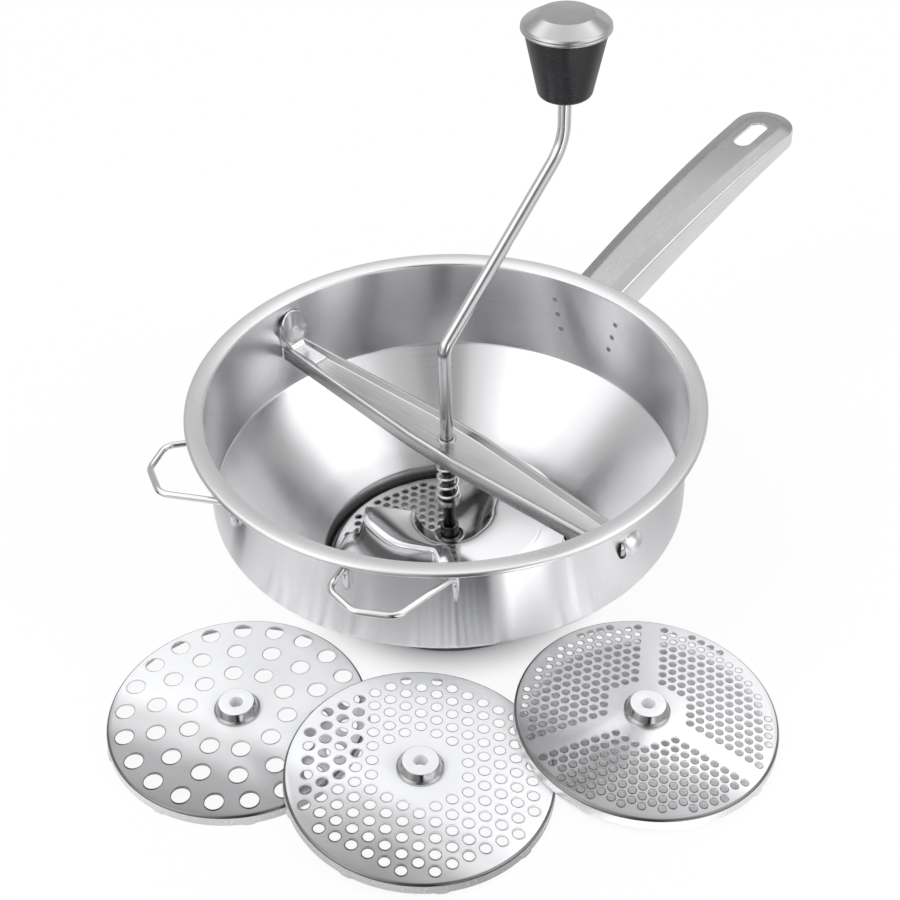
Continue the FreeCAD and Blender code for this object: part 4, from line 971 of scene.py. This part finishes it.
def make_crossbar():
    """Pressed channel with its bushing: skirts, a rounded ridge along each edge and a sunken web."""
    low, floor = BAR_TOP - BAR_SKIRT, BAR_TOP - BAR_RECESS
    turn = turned(BAR_AZIMUTH + 180)
    rows = []
    for k in range(BAR_STEPS + 1):
        x = -BAR_REACH + 2 * BAR_REACH * k / BAR_STEPS
        half = between(((BAR_MIDDLE, BAR_HALF), (BAR_REACH, BAR_END_HALF)), abs(x))
        side = rounded([(half, low), (half, BAR_TOP, 1.5), (half - BAR_CREST, BAR_TOP, 0.4),
                        (half - BAR_FOOT, floor, 1.4), (0.0, floor)], 6)
        rows.append([(x, -p.x, p.y) for p in side] + [(x, p.x, p.y) for p in reversed(side[:-1])])
    points = [turn @ Vector(p) for row in rows for p in row]
    bar = make_mesh("crossbar_pressing", points, grid_faces(len(rows), len(rows[0])))
    bar.data.flip_normals()
    thicken(bar, BAR_GAUGE, bevel=0.25)
    finish_piece(bar, "crossbar", "bar", "bar_side")
    # Painted shade on the faces turned to the front left, such as the near skirt and the far ridge's inner
    # slope.
    facing = turn @ Vector((0, -1, 0))
    for face in bar.data.polygons:
        face.material_index = int(face.normal.dot(facing) > 0.4)
    foot, flange, top = floor - 2.4, floor - 1.25, floor + 0.8
    collar = lathe("crossbar_collar", rounded([
        (SHAFT_HOLE, foot), (7.0, foot, 0.3), (7.0, flange, 0.3), (4.6, flange + 0.05), (4.6, top, 0.5),
        (SHAFT_HOLE, top, 0.2)], 4), 48)
    finish_piece(collar, "crossbar_bushing", "bush")


def make_tab():
    """Spring tab: a foot on the web that turns up into a curved thumb plate with a round head."""
    turn = turned(BAR_AZIMUTH)
    low, plate, widest = BAR_TOP - BAR_RECESS + 1.1, TAB_REACH - TAB_LEAN, TAB_FOOT_HALF + 1.2
    foot_run = TAB_LENGTH - TAB_LEAN - TAB_BEND
    rows = [(TAB_REACH - TAB_LENGTH + foot_run * k / 10, low, TAB_FOOT_HALF, 0.0) for k in range(11)]
    for k in range(1, 7):
        angle = math.radians(90 * k / 6)
        rows.append((plate - TAB_BEND + TAB_BEND * math.sin(angle), low + TAB_BEND * (1 - math.cos(angle)),
                     TAB_FOOT_HALF + 0.2 * k, 0.02 * k))
    for k in range(1, 21):
        share = k / 20
        level = low + TAB_BEND + (TAB_TOP - low - TAB_BEND) * share
        round_head = math.sqrt(max(0.0, 1 - max(0.0, (share - 0.55) / 0.45) ** 2.6))
        width = (widest + (TAB_HALF - widest) * min(1.0, share / 0.3)) * max(round_head, 0.12)
        rows.append((plate + 2.4 * min(1.0, share / 0.4), level, width, 0.12 + 0.88 * min(1.0, share / 0.35)))
    points = []
    for reach, level, width, curl in rows:
        for j in range(-8, 9):
            across = width * j / 8
            points.append(turn @ Vector((reach - curl * across * across / TAB_CURL, across, level)))
    tab = make_mesh("release_tab", points, grid_faces(len(rows), 17))
    thicken(tab, 1.0, offset=1.0, bevel=0.3)
    finish_piece(tab, "crossbar_release_tab", "tab")


# ---------- handle and rests
HANDLE_START, HANDLE_ROOT, HANDLE_TIP, HANDLE_GAUGE = 102.1, 112.6, 289.0, 1.4
HANDLE_RISE, HANDLE_DROOP, HANDLE_STRAIGHT = 0.254, 0.00062, 120.0
HANDLE_HALF, HANDLE_SPREAD, HANDLE_ROUND = 13.0, 4.0, 15.8
HANDLE_DEPTHS = ((100.0, 20.0), (204.5, 15.0), (HANDLE_TIP, 8.6))
SLOT_MIDDLE, SLOT_LENGTH, SLOT_WIDTH = 260.8, 25.5, 9.8
WELD_RINGS = ((1.4, 0.0), (1.2, 0.25), (0.9, 0.28), (0.6, 0.1), (0.0, 0.05))  # radius, height
WELD_TOP, WELD_DROP, WELD_SPREAD = 91.0, 8.4, 8.8
REST_WIRE, REST_LEVEL, REST_TAIL = 1.5, 98.0, Vector((0, 0, -13.0))


def handle_top(reach):
    run = max(reach - HANDLE_STRAIGHT, 0.0)
    return HANDLE_START + HANDLE_RISE * run - HANDLE_DROOP * run * run


def handle_half(reach):
    share = min(max((reach - HANDLE_STRAIGHT) / (HANDLE_TIP - HANDLE_STRAIGHT), 0.0), 1.0)
    return HANDLE_HALF + HANDLE_SPREAD * share


def make_handle():
    """Stamped channel: flanged all round, rounded at the tip, with a hanging slot."""
    straight = HANDLE_TIP - HANDLE_ROUND
    reaches = [HANDLE_ROOT + (straight - HANDLE_ROOT) * k / 60 for k in range(61)]
    outline = [Vector((reach, -handle_half(reach))) for reach in reaches]
    for k in range(1, 24):
        spot = polar(1, -90 + 180 * k / 24)
        outline.append(Vector((straight + HANDLE_ROUND * spot.x, handle_half(straight) * spot.y)))
    outline += [Vector((p.x, -p.y)) for p in reversed(outline[:61])]
    count = len(outline)
    loops = []
    for side in rounded([(0.0, 12.0), (0.0, 1.7, 1.5), (6.6, 0.0, 6.0), (10.0, 0.0)], 6):
        inset, loop = side.x, []
        for p in outline:
            reach = min(p.x, straight + (p.x - straight) * (1 - inset / HANDLE_ROUND))
            across = p.y * (1 - inset / handle_half(min(p.x, straight)))
            fall = side.y if loops else between(HANDLE_DEPTHS, reach)
            loop.append((reach, across, handle_top(reach) - fall))
        loops.append(loop)
    loops += [[(x, y * share, z) for x, y, z in loops[-1]] for share in (0.66, 0.33)]
    last = (len(loops) - 1) * count
    faces = grid_faces(len(loops), count)
    faces += [(last + i, last + i + 1, last + count - 2 - i, last + count - 1 - i) for i in range(count // 2)]
    turn = turned(HANDLE_AZIMUTH)
    handle = make_mesh("handle_channel", [turn @ Vector(p) for loop in loops for p in loop], faces)
    edit = bmesh.new()
    edit.from_mesh(handle.data)
    bmesh.ops.recalc_face_normals(edit, faces=edit.faces)
    if sum(face.normal.z for face in edit.faces) < 0:
        bmesh.ops.reverse_faces(edit, faces=edit.faces)
    edit.to_mesh(handle.data)
    edit.free()
    thicken(handle, HANDLE_GAUGE)
    cut_slot(handle, turn)
    finish_piece(handle, "handle", "handle", "handle_side")
    # Painted light on the steep sides, painted shade on the top.
    for face in handle.data.polygons:
        face.material_index = int(abs(face.normal.z) < 0.8)


def cut_slot(handle, turn):
    """Long hole for hanging."""
    straight = (SLOT_LENGTH - SLOT_WIDTH) / 2
    loop = []
    for start, middle in ((90, SLOT_MIDDLE - straight), (-90, SLOT_MIDDLE + straight)):
        loop += [polar(SLOT_WIDTH / 2, start + 180 * k / 12) + Vector((middle, 0, 0)) for k in range(13)]
    count = len(loop)
    points = [turn @ Vector((p.x, p.y, level)) for level in (100.0, 140.0) for p in loop]
    ends = [tuple(range(count))[::-1], tuple(range(count, 2 * count))]
    cutter = make_mesh("slot_cutter", points, grid_faces(2, count, close_columns=True) + ends)
    hole = handle.modifiers.new("slot", "BOOLEAN")
    hole.object = cutter
    hole.operation = "DIFFERENCE"
    apply_modifiers(handle)
    bpy.data.objects.remove(cutter)


def make_welds():
    """Six spot welds of the handle's ears, pressed slightly proud of the inside of the wall."""
    points, faces = [], []
    for side in (-1, 1):
        for step in range(3):
            azimuth = HANDLE_AZIMUTH + side * WELD_SPREAD * (1.1 - 0.11 * step)
            middle = polar(WALL_RADIUS - PAN_GAUGE, azimuth, WELD_TOP - WELD_DROP * step)
            across, inward = polar(1, azimuth + 90), -polar(1, azimuth)
            start = len(points)
            for radius, proud in WELD_RINGS:
                for k in range(20):
                    spot = polar(radius, 360 * k / 20)
                    points.append(middle + across * spot.x + Vector((0, 0, spot.y)) + inward * proud)
            faces += grid_faces(len(WELD_RINGS), 20, close_columns=True, start=start)
    finish_piece(make_mesh("ear_welds", points, faces, 80), "handle_spot_welds", "weld")


def make_rest(name, node, azimuth):
    """Bent wire loop whose ends run down the wall."""
    beside = WALL_RADIUS + REST_WIRE + 0.05
    feet = [Vector((math.sqrt(beside ** 2 - side ** 2), side, REST_LEVEL)) for side in (-19.5, 27.0)]
    corners = [(feet[0] + REST_TAIL, 0), (feet[0], 4.0), (Vector((127.0, -22.5, REST_LEVEL)), 6.5),
               (Vector((137.5, -9.7, REST_LEVEL)), 8.0), (Vector((137.5, 8.5, REST_LEVEL)), 8.0),
               (feet[1], 4.0), (feet[1] + REST_TAIL, 0)]
    turn = turned(azimuth)
    finish_piece(tube(name, [turn @ p for p in bent_path(corners)], REST_WIRE), node, "wire")


dress_kept_nodes()
for make_piece in (make_pan, make_discs, make_blade, make_blade_hub, make_rod, make_spring, make_knob,
                   make_crossbar, make_tab, make_handle, make_welds):
    make_piece()
make_rest("left_pot_rest", "pot_rest_left", -158.6)
make_rest("front_pot_rest", "pot_rest_front", -101.6)

make_camera()
make_world()
make_lamps()
make_table()
bpy.context.scene.view_settings.view_transform = "Standard"
